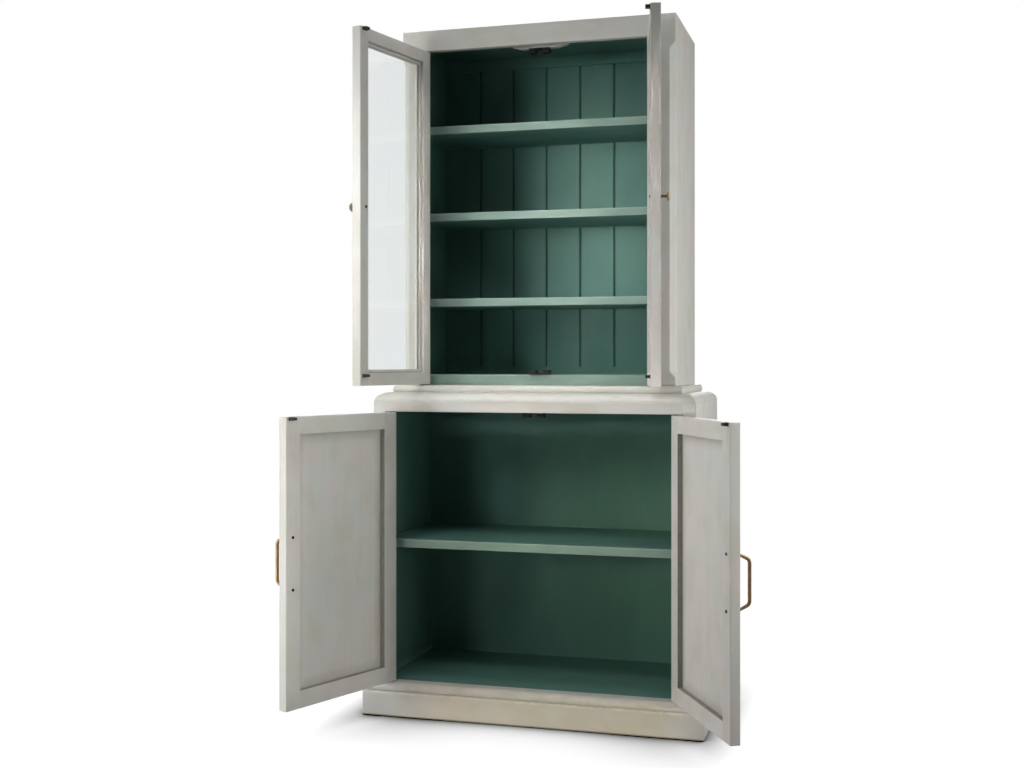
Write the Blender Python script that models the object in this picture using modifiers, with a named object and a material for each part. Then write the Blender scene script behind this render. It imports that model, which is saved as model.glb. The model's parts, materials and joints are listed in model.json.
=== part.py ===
"""Two-part display cabinet, standing with its four doors open.

A base with two panelled doors carries a narrower hutch with two glazed doors. The origin is on
the floor at the middle of the base, +Z is up and the doors are on the -Y side. Every door turns
on a pair of pivot pins, and its pieces hang from an empty that stands on the pin axis.
"""

import math

import bmesh
import bpy
from mathutils import Vector

# Fits
FIT = 0.0003                  # air between two pieces that touch
DOOR_GAP = 0.0025             # air above, below and between the doors
HINGE_GAP = 0.0022            # air between a door's hinge edge and its stile

# Base case
BASE_WIDTH = 0.864
BASE_DEPTH = 0.416
BASE_HEIGHT = 0.8585          # floor to the upper face of the base top
BASE_STILE_WIDTH = 0.032
BASE_RAIL_HEIGHT = 0.027
BASE_TOP_THICKNESS = 0.024
BASE_TOP_ROUND_RUN = 0.038    # how far the rounded edge of the top runs inwards
BASE_BACK_THICKNESS = 0.008
BASE_BACK_INSET = 0.002       # rear edge of the sides to the back panel
BASE_SHELF_HEIGHT = 0.4625    # floor to the upper face of the shelf
BASE_SHELF_THICKNESS = 0.0225
BASE_SHELF_CLEARANCE = 0.0145  # behind the closed doors

# Plinth
PLINTH_HEIGHT = 0.0875        # floor to the cap, where the doors end
PLINTH_BOARD_HEIGHT = 0.064
PLINTH_BOARD_THICKNESS = 0.020
PLINTH_PROUD = 0.023          # board face in front of the base face
PLINTH_ARRIS = 0.0025
PLINTH_QUIRK = 0.0035         # upright step between the board and the half-round of the cap
PLINTH_CAP_LAP = 0.0255       # how far the front cap reaches under the doors
PLINTH_FLOOR_THICKNESS = 0.018
PLINTH_BACK_THICKNESS = 0.020
PLINTH_BEARER_WIDTH = 0.040

# Hutch case
HUTCH_WIDTH = 0.744
HUTCH_DEPTH = 0.336
HUTCH_HEIGHT = 0.9545         # foot board to top
HUTCH_BACK_LEDGE = 0.020      # how far the base stands out behind the hutch
HUTCH_STILE_WIDTH = 0.0455
HUTCH_FRIEZE_HEIGHT = 0.0545
HUTCH_TOP_THICKNESS = 0.018
HUTCH_BOTTOM_THICKNESS = 0.028
HUTCH_SHELF_HEIGHTS = (0.234, 0.467, 0.704)  # foot board to the upper face of each shelf
HUTCH_SHELF_THICKNESS = 0.021
HUTCH_SHELF_CLEARANCE = 0.024  # behind the closed doors
HUTCH_BACK_THICKNESS = 0.012
HUTCH_BACK_INSET = 0.018
FOOT_THICKNESS = 0.019
FOOT_OVERHANG = 0.0215

# Stopped chamfer on the hutch's front corners
CHAMFER = 0.016
CHAMFER_BELOW_TOP = 0.084
CHAMFER_ABOVE_FOOT = 0.036

# Matchboarded back
BOARD_PITCH = 0.099
GROOVE_WIDTH = 0.007
GROOVE_DEPTH = 0.004
GROOVE_FOOT = 0.020           # plain strip left above the bottom board
BACK_RAIL_HEIGHT = 0.030
BACK_RAIL_THICKNESS = 0.010

# Boards shared by both cases
SIDE_THICKNESS = 0.018
STILE_THICKNESS = 0.020
SHELF_HOUSING = 0.005         # depth of the groove that holds a shelf's end

# Doors
DOOR_THICKNESS = 0.024
PIVOT_FROM_EDGE = 0.0075
PIVOT_FROM_FACE = 0.0045
UPPER_DOOR_STILE = 0.042
UPPER_DOOR_RAIL = 0.040
GLASS_THICKNESS = 0.003
GLASS_LIP = 0.007             # frame left in front of the glass
REBATE_WIDTH = 0.008
BEAD_THICKNESS = 0.006
LOWER_DOOR_STILE = 0.046
LOWER_DOOR_RAIL = 0.043
PANEL_THICKNESS = 0.006
PANEL_LIP = 0.004             # frame face to panel face, outside
PANEL_GROOVE = 0.007
OPEN_ANGLES = {"upper_left": 102.5, "upper_right": 101.7, "lower_left": 110.7, "lower_right": 118.2}

# Pivot pins
PIN_RADIUS = 0.002
PIN_REACH = 0.012             # into the case, and into the door
PIN_COLLAR_RADIUS = 0.004

# Catches, the blocks that carry them, and the strikes on the doors
STRIKE_INSET = 0.008          # from the door's free edge
STRIKE_WIDTH = 0.019
STRIKE_HEIGHT = 0.009
STRIKE_PROUD = 0.012
LOWER_STRIKE_RISE = 0.004     # above the hutch's bottom board
CATCH_DEPTH = 0.022
CATCH_HEIGHT = 0.012
CATCH_PLATE = 0.003
BLOCK_LENGTH = 0.152
BLOCK_TAPER = 0.028
BLOCK_END_RISE = 0.008        # the ends' undersides above the middle's
BLOCK_DROP = 0.002            # below the head of the door opening

# Knobs and bow handles
BOLT_RADIUS = 0.002
BOLT_HEAD_RADIUS = 0.004
BOLT_HEAD_HEIGHT = 0.0022
KNOB_RADIUS = 0.011
KNOB_HEAD_HEIGHT = 0.008
KNOB_STEM_RADIUS = 0.0032
KNOB_STEM = 0.012
KNOB_ROSE_RADIUS = 0.0055
KNOB_ROSE_HEIGHT = 0.0025
KNOB_FROM_EDGE = 0.024
HANDLE_SPACING = 0.128
HANDLE_PROJECTION = 0.035
HANDLE_RADIUS = 0.0042
HANDLE_ROSE_RADIUS = 0.0065
HANDLE_ROSE_HEIGHT = 0.003
HANDLE_FROM_EDGE = 0.022

# Facets of round shapes
PIN_SIDES = 16
TURNED_SIDES = 20
ROUND_STEPS = 7
BOW_POINTS = 17

# Planes worked out from the sizes above
BASE_FRONT = -BASE_DEPTH / 2
BASE_BACK = BASE_DEPTH / 2
BASE_HALF = BASE_WIDTH / 2
BASE_CASE_TOP = BASE_HEIGHT - BASE_TOP_THICKNESS
BASE_OPENING_TOP = BASE_CASE_TOP - BASE_RAIL_HEIGHT
BASE_OPENING_HALF = BASE_HALF - BASE_STILE_WIDTH
BASE_INNER_BACK = BASE_BACK - BASE_BACK_INSET - BASE_BACK_THICKNESS
HUTCH_BACK = BASE_BACK - HUTCH_BACK_LEDGE
HUTCH_FRONT = HUTCH_BACK - HUTCH_DEPTH
HUTCH_HALF = HUTCH_WIDTH / 2
HUTCH_FLOOR = BASE_HEIGHT + FOOT_THICKNESS
HUTCH_TOP = HUTCH_FLOOR + HUTCH_HEIGHT
HUTCH_OPENING_TOP = HUTCH_TOP - HUTCH_FRIEZE_HEIGHT
HUTCH_OPENING_HALF = HUTCH_HALF - HUTCH_STILE_WIDTH
HUTCH_INNER_BACK = HUTCH_BACK - HUTCH_BACK_INSET - HUTCH_BACK_THICKNESS
HUTCH_BOTTOM_TOP = HUTCH_FLOOR + HUTCH_BOTTOM_THICKNESS
CATCH_FROM_FRONT = DOOR_THICKNESS + STRIKE_PROUD + FIT

CASE_COLLECTION = "display_cabinet"
CUTTER_COLLECTION = "cutters"


def clear_scene():
    """Empty the scene and give it one collection for parts and one for cutters."""
    for old in list(bpy.data.objects):
        bpy.data.objects.remove(old, do_unlink=True)
    for name in (CASE_COLLECTION, CUTTER_COLLECTION):
        collection = bpy.data.collections.get(name) or bpy.data.collections.new(name)
        if name not in bpy.context.scene.collection.children:
            bpy.context.scene.collection.children.link(collection)


def finish(name, colour, roughness, metallic=0.0, transmission=0.0):
    """Make a Principled material."""
    material = bpy.data.materials.new(name)
    material.use_nodes = True
    shader = material.node_tree.nodes["Principled BSDF"]
    shader.inputs["Base Color"].default_value = (*colour, 1.0)
    shader.inputs["Roughness"].default_value = roughness
    shader.inputs["Metallic"].default_value = metallic
    shader.inputs["Transmission Weight"].default_value = transmission
    material.diffuse_color = (*colour, 1.0)
    return material


clear_scene()
LIMED = finish("limed_paint", (0.62, 0.60, 0.55), 0.55)
GREEN = finish("green_paint", (0.20, 0.31, 0.29), 0.50)
GLASS = finish("clear_glass", (0.95, 0.97, 0.96), 0.03, transmission=1.0)
BRASS = finish("aged_brass", (0.56, 0.40, 0.20), 0.32, metallic=1.0)
STEEL = finish("pin_steel", (0.52, 0.52, 0.50), 0.35, metallic=1.0)
BLACK = finish("black_plastic", (0.015, 0.015, 0.015), 0.45)


def add_object(name, data, material, parent=None, collection=CASE_COLLECTION):
    """Link a mesh or curve as a named object."""
    obj = bpy.data.objects.new(name, data)
    bpy.data.collections[collection].objects.link(obj)
    if material:
        data.materials.append(material)
    obj.parent = parent
    return obj


def mesh_from(bm, name):
    """Turn a bmesh into a mesh whose faces point outwards."""
    bmesh.ops.recalc_face_normals(bm, faces=bm.faces)
    mesh = bpy.data.meshes.new(name)
    bm.to_mesh(mesh)
    bm.free()
    return mesh


def board(name, x, y, z, material, parent=None, collection=CASE_COLLECTION):
    """Make a rectangular piece between two limits on each axis."""
    limits = (x, y, z)
    bm = bmesh.new()
    bmesh.ops.create_cube(bm, size=1.0)
    bmesh.ops.scale(bm, vec=Vector([high - low for low, high in limits]), verts=bm.verts)
    obj = add_object(name, mesh_from(bm, name), material, parent, collection)
    obj.location = [(low + high) / 2 for low, high in limits]
    return obj


def loft(name, rings, material, parent=None, collection=CASE_COLLECTION):
    """Skin a solid over rings of points that all have the same count, with a flat cap at each end."""
    bm = bmesh.new()
    loops = [[bm.verts.new(point) for point in ring] for ring in rings]
    for near, far in zip(loops, loops[1:]):
        for i in range(len(near)):
            j = (i + 1) % len(near)
            bm.faces.new((near[i], near[j], far[j], far[i]))
    bm.faces.new(loops[0])
    bm.faces.new(loops[-1])
    return add_object(name, mesh_from(bm, name), material, parent, collection)


def turned(name, profile, sides, material, parent=None, collection=CASE_COLLECTION):
    """Turn a profile of (radius, height) points, listed from the top down, about the local Z axis."""
    mesh = bpy.data.meshes.new(name)
    edges = [(i, i + 1) for i in range(len(profile) - 1)]
    mesh.from_pydata([(radius, 0.0, height) for radius, height in profile], edges, [])
    obj = add_object(name, mesh, material, parent, collection)
    screw = obj.modifiers.new("turn", "SCREW")
    screw.axis = "Z"
    screw.steps = screw.render_steps = sides
    screw.use_merge_vertices = True
    screw.merge_threshold = 0.00005
    return obj


def as_cutter(obj):
    """Keep a helper shape out of the model."""
    obj.hide_render = True
    obj.display_type = "WIRE"
    return obj


def combine(obj, helper, operation):
    """Cut a helper shape out of an object, or join it on."""
    boolean = obj.modifiers.new(helper.name, "BOOLEAN")
    boolean.operation = operation
    boolean.object = helper
    boolean.solver = "EXACT"


def cut_box(obj, label, x, y, z, parent=None):
    """Cut a rectangular recess or opening."""
    helper = board(f"{obj.name}_{label}", x, y, z, None, parent, CUTTER_COLLECTION)
    combine(obj, as_cutter(helper), "DIFFERENCE")


def cut_round(obj, label, centre, radius, half_length, along_y=False, parent=None):
    """Cut a round hole along Z, or along Y."""
    bm = bmesh.new()
    bmesh.ops.create_cone(bm, cap_ends=True, segments=PIN_SIDES, radius1=radius, radius2=radius,
                          depth=2 * half_length)
    name = f"{obj.name}_{label}"
    helper = add_object(name, mesh_from(bm, name), None, parent, CUTTER_COLLECTION)
    helper.location = centre
    helper.rotation_euler.x = math.pi / 2 if along_y else 0.0
    combine(obj, as_cutter(helper), "DIFFERENCE")


def rectangle(half, front, back, inset, height):
    """Corners of a slab's outline, drawn in on the front and both sides."""
    edge = half - inset
    return [(-edge, front + inset, height), (edge, front + inset, height), (edge, back, height), (-edge, back, height)]


def pivot_x(opening_half):
    """Distance of a door's pin axis from the middle of the cabinet."""
    return opening_half - HINGE_GAP - PIVOT_FROM_EDGE


def drill_pivots(obj, opening_half, front, height):
    """Drill the two pin holes in the piece above or below a pair of doors."""
    for side, x in (("left", -pivot_x(opening_half)), ("right", pivot_x(opening_half))):
        centre = (x, front + PIVOT_FROM_FACE, height)
        cut_round(obj, f"{side}_pin_hole", centre, PIN_RADIUS + FIT, PIN_REACH + 2 * FIT)


def plinth_section(cap_lap):
    """Outline of a plinth length as (distance in front of the base face, height) points."""
    foot = PLINTH_PROUD - PLINTH_BOARD_THICKNESS
    round_foot = PLINTH_BOARD_HEIGHT + PLINTH_QUIRK
    radius = (PLINTH_HEIGHT - round_foot) / 2
    bulge = [(PLINTH_QUIRK + radius * math.cos(turn), round_foot + radius + radius * math.sin(turn))
             for turn in (math.pi * (step / ROUND_STEPS - 0.5) for step in range(ROUND_STEPS + 1))]
    under = PLINTH_HEIGHT - PLINTH_FLOOR_THICKNESS
    return [(foot, 0.0), (PLINTH_PROUD, 0.0), (PLINTH_PROUD, PLINTH_BOARD_HEIGHT - PLINTH_ARRIS),
            (PLINTH_PROUD - PLINTH_ARRIS, PLINTH_BOARD_HEIGHT), (PLINTH_QUIRK, PLINTH_BOARD_HEIGHT),
            *bulge, (-cap_lap, PLINTH_HEIGHT), (-cap_lap, under), (foot, under)]


def build_plinth():
    """Three moulded lengths mitred at the front corners, a back board and a middle bearer."""
    half, front = BASE_HALF, BASE_FRONT
    section = plinth_section(PLINTH_CAP_LAP)
    ends = [[(side * (half + out - FIT), front - out, height) for out, height in section] for side in (-1, 1)]
    plinth_front = loft("plinth_front", ends, LIMED)
    drill_pivots(plinth_front, BASE_OPENING_HALF, BASE_FRONT, PLINTH_HEIGHT)
    for name, side in (("plinth_left", -1), ("plinth_right", 1)):
        section = plinth_section(SIDE_THICKNESS)
        ends = [[(side * (half + out), front - out + FIT, height) for out, height in section],
                [(side * (half + out), BASE_BACK, height) for out, height in section]]
        loft(name, ends, LIMED)
    under = PLINTH_HEIGHT - PLINTH_FLOOR_THICKNESS - FIT
    inner = PLINTH_PROUD - PLINTH_BOARD_THICKNESS - FIT
    back_front = BASE_BACK - PLINTH_BACK_THICKNESS
    board("plinth_back", (-half - inner, half + inner), (back_front, BASE_BACK), (0.0, under), LIMED)
    board("plinth_bearer", (-PLINTH_BEARER_WIDTH / 2, PLINTH_BEARER_WIDTH / 2), (front - inner, back_front - FIT),
          (0.0, under), LIMED)


def house_shelf(sides, half, y, top, thickness, label):
    """Groove both sides of a case for the ends of one shelf."""
    inner = half - SIDE_THICKNESS
    for obj, side in zip(sides, (-1, 1)):
        x = sorted((side * (inner - SHELF_HOUSING), side * (inner + SHELF_HOUSING)))
        cut_box(obj, label, x, (y[0] - FIT, y[1] + FIT), (top - thickness - FIT, top + FIT))


def build_shelf(name, half, y, top, thickness):
    """A shelf whose ends sit in the sides' grooves."""
    reach = half - SIDE_THICKNESS + SHELF_HOUSING - FIT
    board(name, (-reach, reach), y, (top - thickness, top), GREEN)


def build_case_sides(prefix, half, front, back, z, stile_width):
    """The two sides and the two front stiles of a case.

    Returns the sides and the stiles, left before right.
    """
    sides, stiles = [], []
    for name, side in (("left", -1), ("right", 1)):
        x = sorted((side * (half - SIDE_THICKNESS), side * half))
        sides.append(board(f"{prefix}_{name}_side", x, (front + STILE_THICKNESS + FIT, back), z, LIMED))
        x = sorted((side * (half - stile_width), side * half))
        stiles.append(board(f"{prefix}_{name}_stile", x, (front, front + STILE_THICKNESS), z, LIMED))
    return sides, stiles


def build_base():
    """The lower case, its shelf and its rounded top."""
    z = (PLINTH_HEIGHT + FIT, BASE_CASE_TOP - FIT)
    sides, _ = build_case_sides("base", BASE_HALF, BASE_FRONT, BASE_BACK, z, BASE_STILE_WIDTH)
    rail_half = BASE_OPENING_HALF - FIT
    rail = board("base_top_rail", (-rail_half, rail_half), (BASE_FRONT, BASE_FRONT + STILE_THICKNESS),
                 (BASE_OPENING_TOP, BASE_CASE_TOP - FIT), LIMED)
    drill_pivots(rail, BASE_OPENING_HALF, BASE_FRONT, BASE_OPENING_TOP)
    inner = BASE_HALF - SIDE_THICKNESS - FIT
    under = PLINTH_HEIGHT - PLINTH_FLOOR_THICKNESS
    board("base_floor", (-inner, inner), (BASE_FRONT + PLINTH_CAP_LAP + FIT, BASE_INNER_BACK - FIT),
          (under, PLINTH_HEIGHT), GREEN)
    board("base_back", (-inner, inner), (BASE_INNER_BACK, BASE_BACK - BASE_BACK_INSET), (under, BASE_CASE_TOP - FIT),
          GREEN)
    shelf_y = (BASE_FRONT + DOOR_THICKNESS + BASE_SHELF_CLEARANCE, BASE_INNER_BACK - FIT)
    house_shelf(sides, BASE_HALF, shelf_y, BASE_SHELF_HEIGHT, BASE_SHELF_THICKNESS, "shelf_groove")
    build_shelf("base_shelf", BASE_HALF, shelf_y, BASE_SHELF_HEIGHT, BASE_SHELF_THICKNESS)
    rings = []
    for step in range(ROUND_STEPS + 1):
        turn = math.pi / 2 * step / ROUND_STEPS
        rings.append(rectangle(BASE_HALF, BASE_FRONT, BASE_BACK, BASE_TOP_ROUND_RUN * (1 - math.cos(turn)),
                               BASE_CASE_TOP + BASE_TOP_THICKNESS * math.sin(turn)))
    loft("base_top", rings, LIMED)


def build_foot():
    """The half-round edged board that the hutch stands on; the upper doors' lower pins sit in it."""
    radius = FOOT_THICKNESS / 2
    half, front = HUTCH_HALF + FOOT_OVERHANG, HUTCH_FRONT - FOOT_OVERHANG
    rings = []
    for step in range(ROUND_STEPS + 1):
        turn = math.pi * (step / ROUND_STEPS - 0.5)
        lift = FIT if step == 0 else 0.0
        rings.append(rectangle(half, front, HUTCH_BACK, radius * (1 - math.cos(turn)),
                               BASE_HEIGHT + radius * (1 + math.sin(turn)) + lift))
    foot = loft("hutch_foot", rings, LIMED)
    drill_pivots(foot, HUTCH_OPENING_HALF, HUTCH_FRONT, HUTCH_FLOOR)


def chamfer_corner(stile, side):
    """Cut a chamfer with sloping stops off a stile's outer front corner."""
    low, high = HUTCH_FLOOR + CHAMFER_ABOVE_FOOT, HUTCH_TOP - CHAMFER_BELOW_TOP
    spare = CHAMFER / 2
    stations = ((low, -spare), (low + CHAMFER + spare, CHAMFER), (high - CHAMFER - spare, CHAMFER), (high, -spare))
    rings = []
    for height, leg in stations:
        out_x, out_y = side * (HUTCH_HALF + spare), HUTCH_FRONT - spare
        rings.append([(out_x, out_y, height), (side * (HUTCH_HALF - leg - spare), out_y, height),
                      (out_x, HUTCH_FRONT + leg + spare, height)])
    combine(stile, as_cutter(loft(f"{stile.name}_chamfer", rings, None, None, CUTTER_COLLECTION)), "DIFFERENCE")


def build_hutch_back():
    """One matchboarded panel with stopped V grooves, and the rail across its head."""
    inner = HUTCH_HALF - SIDE_THICKNESS - FIT
    head = HUTCH_TOP - HUTCH_TOP_THICKNESS - FIT
    panel = board("hutch_back", (-inner, inner), (HUTCH_INNER_BACK, HUTCH_BACK - HUTCH_BACK_INSET),
                  (HUTCH_FLOOR + FIT, head), GREEN)
    count = int(inner / BOARD_PITCH)
    face, half_groove = HUTCH_INNER_BACK, GROOVE_WIDTH / 2
    low, high = HUTCH_BOTTOM_TOP + GROOVE_FOOT, head - BACK_RAIL_HEIGHT / 2
    for side in (-1, 1):
        for index in range(count):
            x = side * BOARD_PITCH * (index + 0.5)
            flare = half_groove / GROOVE_DEPTH * FIT
            rings = [[(x - half_groove - flare, face - FIT, height), (x + half_groove + flare, face - FIT, height),
                      (x, face + GROOVE_DEPTH, height)] for height in (low, high)]
            groove = loft(f"groove_{'left' if side < 0 else 'right'}_{index}", rings, None, None, CUTTER_COLLECTION)
            combine(panel, as_cutter(groove), "DIFFERENCE")
    board("hutch_back_rail", (-inner, inner), (face - FIT - BACK_RAIL_THICKNESS, face - FIT),
          (head - BACK_RAIL_HEIGHT, head), GREEN)


def build_hutch():
    """The upper case with its three shelves."""
    z = (HUTCH_FLOOR + FIT, HUTCH_TOP)
    sides, stiles = build_case_sides("hutch", HUTCH_HALF, HUTCH_FRONT, HUTCH_BACK, z, HUTCH_STILE_WIDTH)
    for stile, side in zip(stiles, (-1, 1)):
        chamfer_corner(stile, side)
    rail_half = HUTCH_OPENING_HALF - FIT
    behind = HUTCH_FRONT + STILE_THICKNESS
    frieze = board("hutch_frieze", (-rail_half, rail_half), (HUTCH_FRONT, behind), (HUTCH_OPENING_TOP, HUTCH_TOP),
                   LIMED)
    drill_pivots(frieze, HUTCH_OPENING_HALF, HUTCH_FRONT, HUTCH_OPENING_TOP)
    inner = HUTCH_HALF - SIDE_THICKNESS - FIT
    board("hutch_top", (-inner, inner), (behind + FIT, HUTCH_BACK), (HUTCH_TOP - HUTCH_TOP_THICKNESS, HUTCH_TOP),
          LIMED)
    shelf_y = (HUTCH_FRONT + DOOR_THICKNESS + HUTCH_SHELF_CLEARANCE, HUTCH_INNER_BACK - FIT)
    board("hutch_bottom", (-inner, inner), shelf_y, (HUTCH_FLOOR + FIT, HUTCH_BOTTOM_TOP), GREEN)
    for number, height in enumerate(HUTCH_SHELF_HEIGHTS, start=1):
        top = HUTCH_FLOOR + height
        house_shelf(sides, HUTCH_HALF, shelf_y, top, HUTCH_SHELF_THICKNESS, f"shelf_{number}_groove")
        build_shelf(f"hutch_shelf_{number}", HUTCH_HALF, shelf_y, top, HUTCH_SHELF_THICKNESS)
    build_hutch_back()


def build_catch(name, front, seat, hangs):
    """A double catch: one plate with two heads, hung under a block or stood on a board."""
    way = -1 if hangs else 1
    y = (front + CATCH_FROM_FRONT, front + CATCH_FROM_FRONT + CATCH_DEPTH)
    near = DOOR_GAP / 2 + STRIKE_INSET
    reach = near + STRIKE_WIDTH
    start = seat + way * FIT
    z = sorted((start, start + way * CATCH_HEIGHT))
    catch = board(name, (-reach, reach), y, z, BLACK)
    gap = sorted((start + way * CATCH_PLATE, start + way * 2 * CATCH_HEIGHT))
    cut_box(catch, "gap", (-near, near), (y[0] - FIT, y[1] + FIT), gap)


def build_catch_block(name, front, low, high, material):
    """A block hung behind the rail over a pair of doors, its underside rising at both ends."""
    y0, y1 = front + CATCH_FROM_FRONT, front + CATCH_FROM_FRONT + CATCH_DEPTH
    half = BLOCK_LENGTH / 2
    rings = []
    for x, rise in ((-half, BLOCK_END_RISE), (BLOCK_TAPER - half, 0.0), (half - BLOCK_TAPER, 0.0),
                    (half, BLOCK_END_RISE)):
        rings.append([(x, y0, low + rise), (x, y1, low + rise), (x, y1, high), (x, y0, high)])
    loft(name, rings, material)


def build_catches():
    """Catches over both pairs of doors, and on the hutch's bottom board."""
    hutch_seat, base_seat = HUTCH_OPENING_TOP - BLOCK_DROP, BASE_OPENING_TOP - BLOCK_DROP
    build_catch_block("hutch_catch_block", HUTCH_FRONT, hutch_seat, HUTCH_TOP - HUTCH_TOP_THICKNESS - FIT, LIMED)
    build_catch("hutch_top_catch", HUTCH_FRONT, hutch_seat, hangs=True)
    build_catch("hutch_bottom_catch", HUTCH_FRONT, HUTCH_BOTTOM_TOP, hangs=False)
    build_catch_block("base_catch_block", BASE_FRONT, base_seat, BASE_CASE_TOP - FIT, GREEN)
    build_catch("base_catch", BASE_FRONT, base_seat, hangs=True)


class Door:
    """One door, drawn closed in the frame of its hinge and then swung open.

    In that frame the pin axis is at x = y = 0, x runs to the free edge on both hands through
    `side`, and y runs from the outer face to the inner face.
    """

    def __init__(self, name, side, opening_half, front, z, stile, rail):
        self.name = name
        self.side = side
        self.low, self.high = z[0] + DOOR_GAP, z[1] - DOOR_GAP
        self.width = opening_half - HINGE_GAP - DOOR_GAP / 2
        self.free = self.width - PIVOT_FROM_EDGE
        self.stile, self.rail = stile, rail
        self.outer, self.inner = -PIVOT_FROM_FACE, DOOR_THICKNESS - PIVOT_FROM_FACE
        self.hinge = bpy.data.objects.new(f"{name}_hinge", None)
        bpy.data.collections[CASE_COLLECTION].objects.link(self.hinge)
        self.hinge.location = (side * pivot_x(opening_half), front + PIVOT_FROM_FACE, 0.0)
        self.hinge.rotation_euler.z = side * math.radians(OPEN_ANGLES[name])

    def x(self, near, far):
        """Limits in x for distances from the pin axis towards the free edge."""
        return sorted((-self.side * near, -self.side * far))

    def window(self, margin=0.0):
        """Limits in x and z of the opening in the frame, let in by a margin on every side."""
        x = self.x(self.stile - PIVOT_FROM_EDGE - margin, self.free - self.stile + margin)
        return x, (self.low + self.rail - margin, self.high - self.rail + margin)

    def build_frame(self):
        """The glued-up frame with its opening and the holes for the pins."""
        frame = board(f"{self.name}_door_frame", self.x(-PIVOT_FROM_EDGE, self.free), (self.outer, self.inner),
                      (self.low, self.high), LIMED, self.hinge)
        x, z = self.window()
        cut_box(frame, "opening", x, (self.outer - FIT, self.inner + FIT), z, self.hinge)
        for label, height in (("lower_pin_hole", self.low), ("upper_pin_hole", self.high)):
            cut_round(frame, label, (0.0, 0.0, height), PIN_RADIUS + FIT, PIN_REACH + 2 * FIT, parent=self.hinge)
        return frame

    def drill_bolt(self, frame, label, from_edge, height):
        """Bore the frame right through for a knob's or handle's bolt."""
        centre = (-self.side * (self.free - from_edge), (self.outer + self.inner) / 2, height)
        cut_round(frame, label, centre, BOLT_RADIUS + FIT, DOOR_THICKNESS, along_y=True, parent=self.hinge)

    def build_strike(self, label, top):
        """The black block near the free edge that meets a catch."""
        far = self.free - STRIKE_INSET
        board(f"{self.name}_{label}", self.x(far - STRIKE_WIDTH, far),
              (self.inner + FIT, self.inner + STRIKE_PROUD), (top - STRIKE_HEIGHT, top), BLACK, self.hinge)

    def build_pins(self):
        """The upper and lower pivot pins, which stay in the case."""
        collar = DOOR_GAP / 2 - FIT
        reach = DOOR_GAP / 2 + PIN_REACH
        profile = [(0.0, reach), (PIN_RADIUS, reach), (PIN_RADIUS, collar), (PIN_COLLAR_RADIUS, collar),
                   (PIN_COLLAR_RADIUS, -collar), (PIN_RADIUS, -collar), (PIN_RADIUS, -reach), (0.0, -reach)]
        for label, height in (("lower_pivot", self.low - DOOR_GAP / 2), ("upper_pivot", self.high + DOOR_GAP / 2)):
            pin = turned(f"{self.name}_{label}", profile, PIN_SIDES, STEEL)
            pin.location = (self.hinge.location.x, self.hinge.location.y, height)


def bolt_profile(rose_radius, rose_height):
    """Rose, bolt shank and inner head of a knob or handle, from the outer face inwards."""
    head = -DOOR_THICKNESS - FIT
    return [(rose_radius, rose_height), (rose_radius, FIT), (BOLT_RADIUS, FIT), (BOLT_RADIUS, head),
            (BOLT_HEAD_RADIUS, head), (BOLT_HEAD_RADIUS, head - BOLT_HEAD_HEIGHT / 2),
            (BOLT_HEAD_RADIUS / 2, head - BOLT_HEAD_HEIGHT), (0.0, head - BOLT_HEAD_HEIGHT)]


def build_upper_door(name, side):
    """A glazed door with its bead, knob and two strikes."""
    door = Door(name, side, HUTCH_OPENING_HALF, HUTCH_FRONT, (HUTCH_FLOOR, HUTCH_OPENING_TOP), UPPER_DOOR_STILE,
                UPPER_DOOR_RAIL)
    frame = door.build_frame()
    seat = door.outer + GLASS_LIP
    x, z = door.window(REBATE_WIDTH)
    cut_box(frame, "rebate", x, (seat, door.inner + FIT), z, door.hinge)
    middle = (door.low + door.high) / 2
    door.drill_bolt(frame, "knob_hole", KNOB_FROM_EDGE, middle)
    x, z = door.window(REBATE_WIDTH - FIT)
    board(f"{name}_glass", x, (seat + FIT, seat + FIT + GLASS_THICKNESS), z, GLASS, door.hinge)
    bead_seat = seat + 2 * FIT + GLASS_THICKNESS
    bead = board(f"{name}_glazing_bead", x, (bead_seat, bead_seat + BEAD_THICKNESS), z, LIMED, door.hinge)
    x, z = door.window()
    cut_box(bead, "opening", x, (bead_seat - FIT, bead_seat + BEAD_THICKNESS + FIT), z, door.hinge)
    tip = KNOB_ROSE_HEIGHT + KNOB_STEM + KNOB_HEAD_HEIGHT
    head = [(KNOB_RADIUS * math.sin(turn), tip + KNOB_HEAD_HEIGHT * (math.cos(turn) - 1) / 2)
            for turn in (math.pi * step / ROUND_STEPS for step in range(ROUND_STEPS))]
    stem = [(KNOB_STEM_RADIUS, tip - KNOB_HEAD_HEIGHT), (KNOB_STEM_RADIUS, KNOB_ROSE_HEIGHT)]
    profile = head + stem + bolt_profile(KNOB_ROSE_RADIUS, KNOB_ROSE_HEIGHT)
    knob = turned(f"{name}_knob", profile, TURNED_SIDES, BRASS, door.hinge)
    knob.location = (-side * (door.free - KNOB_FROM_EDGE), door.outer, middle)
    knob.rotation_euler.x = math.pi / 2
    door.build_strike("upper_strike", door.high)
    door.build_strike("lower_strike", HUTCH_BOTTOM_TOP + LOWER_STRIKE_RISE)
    door.build_pins()


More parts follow.
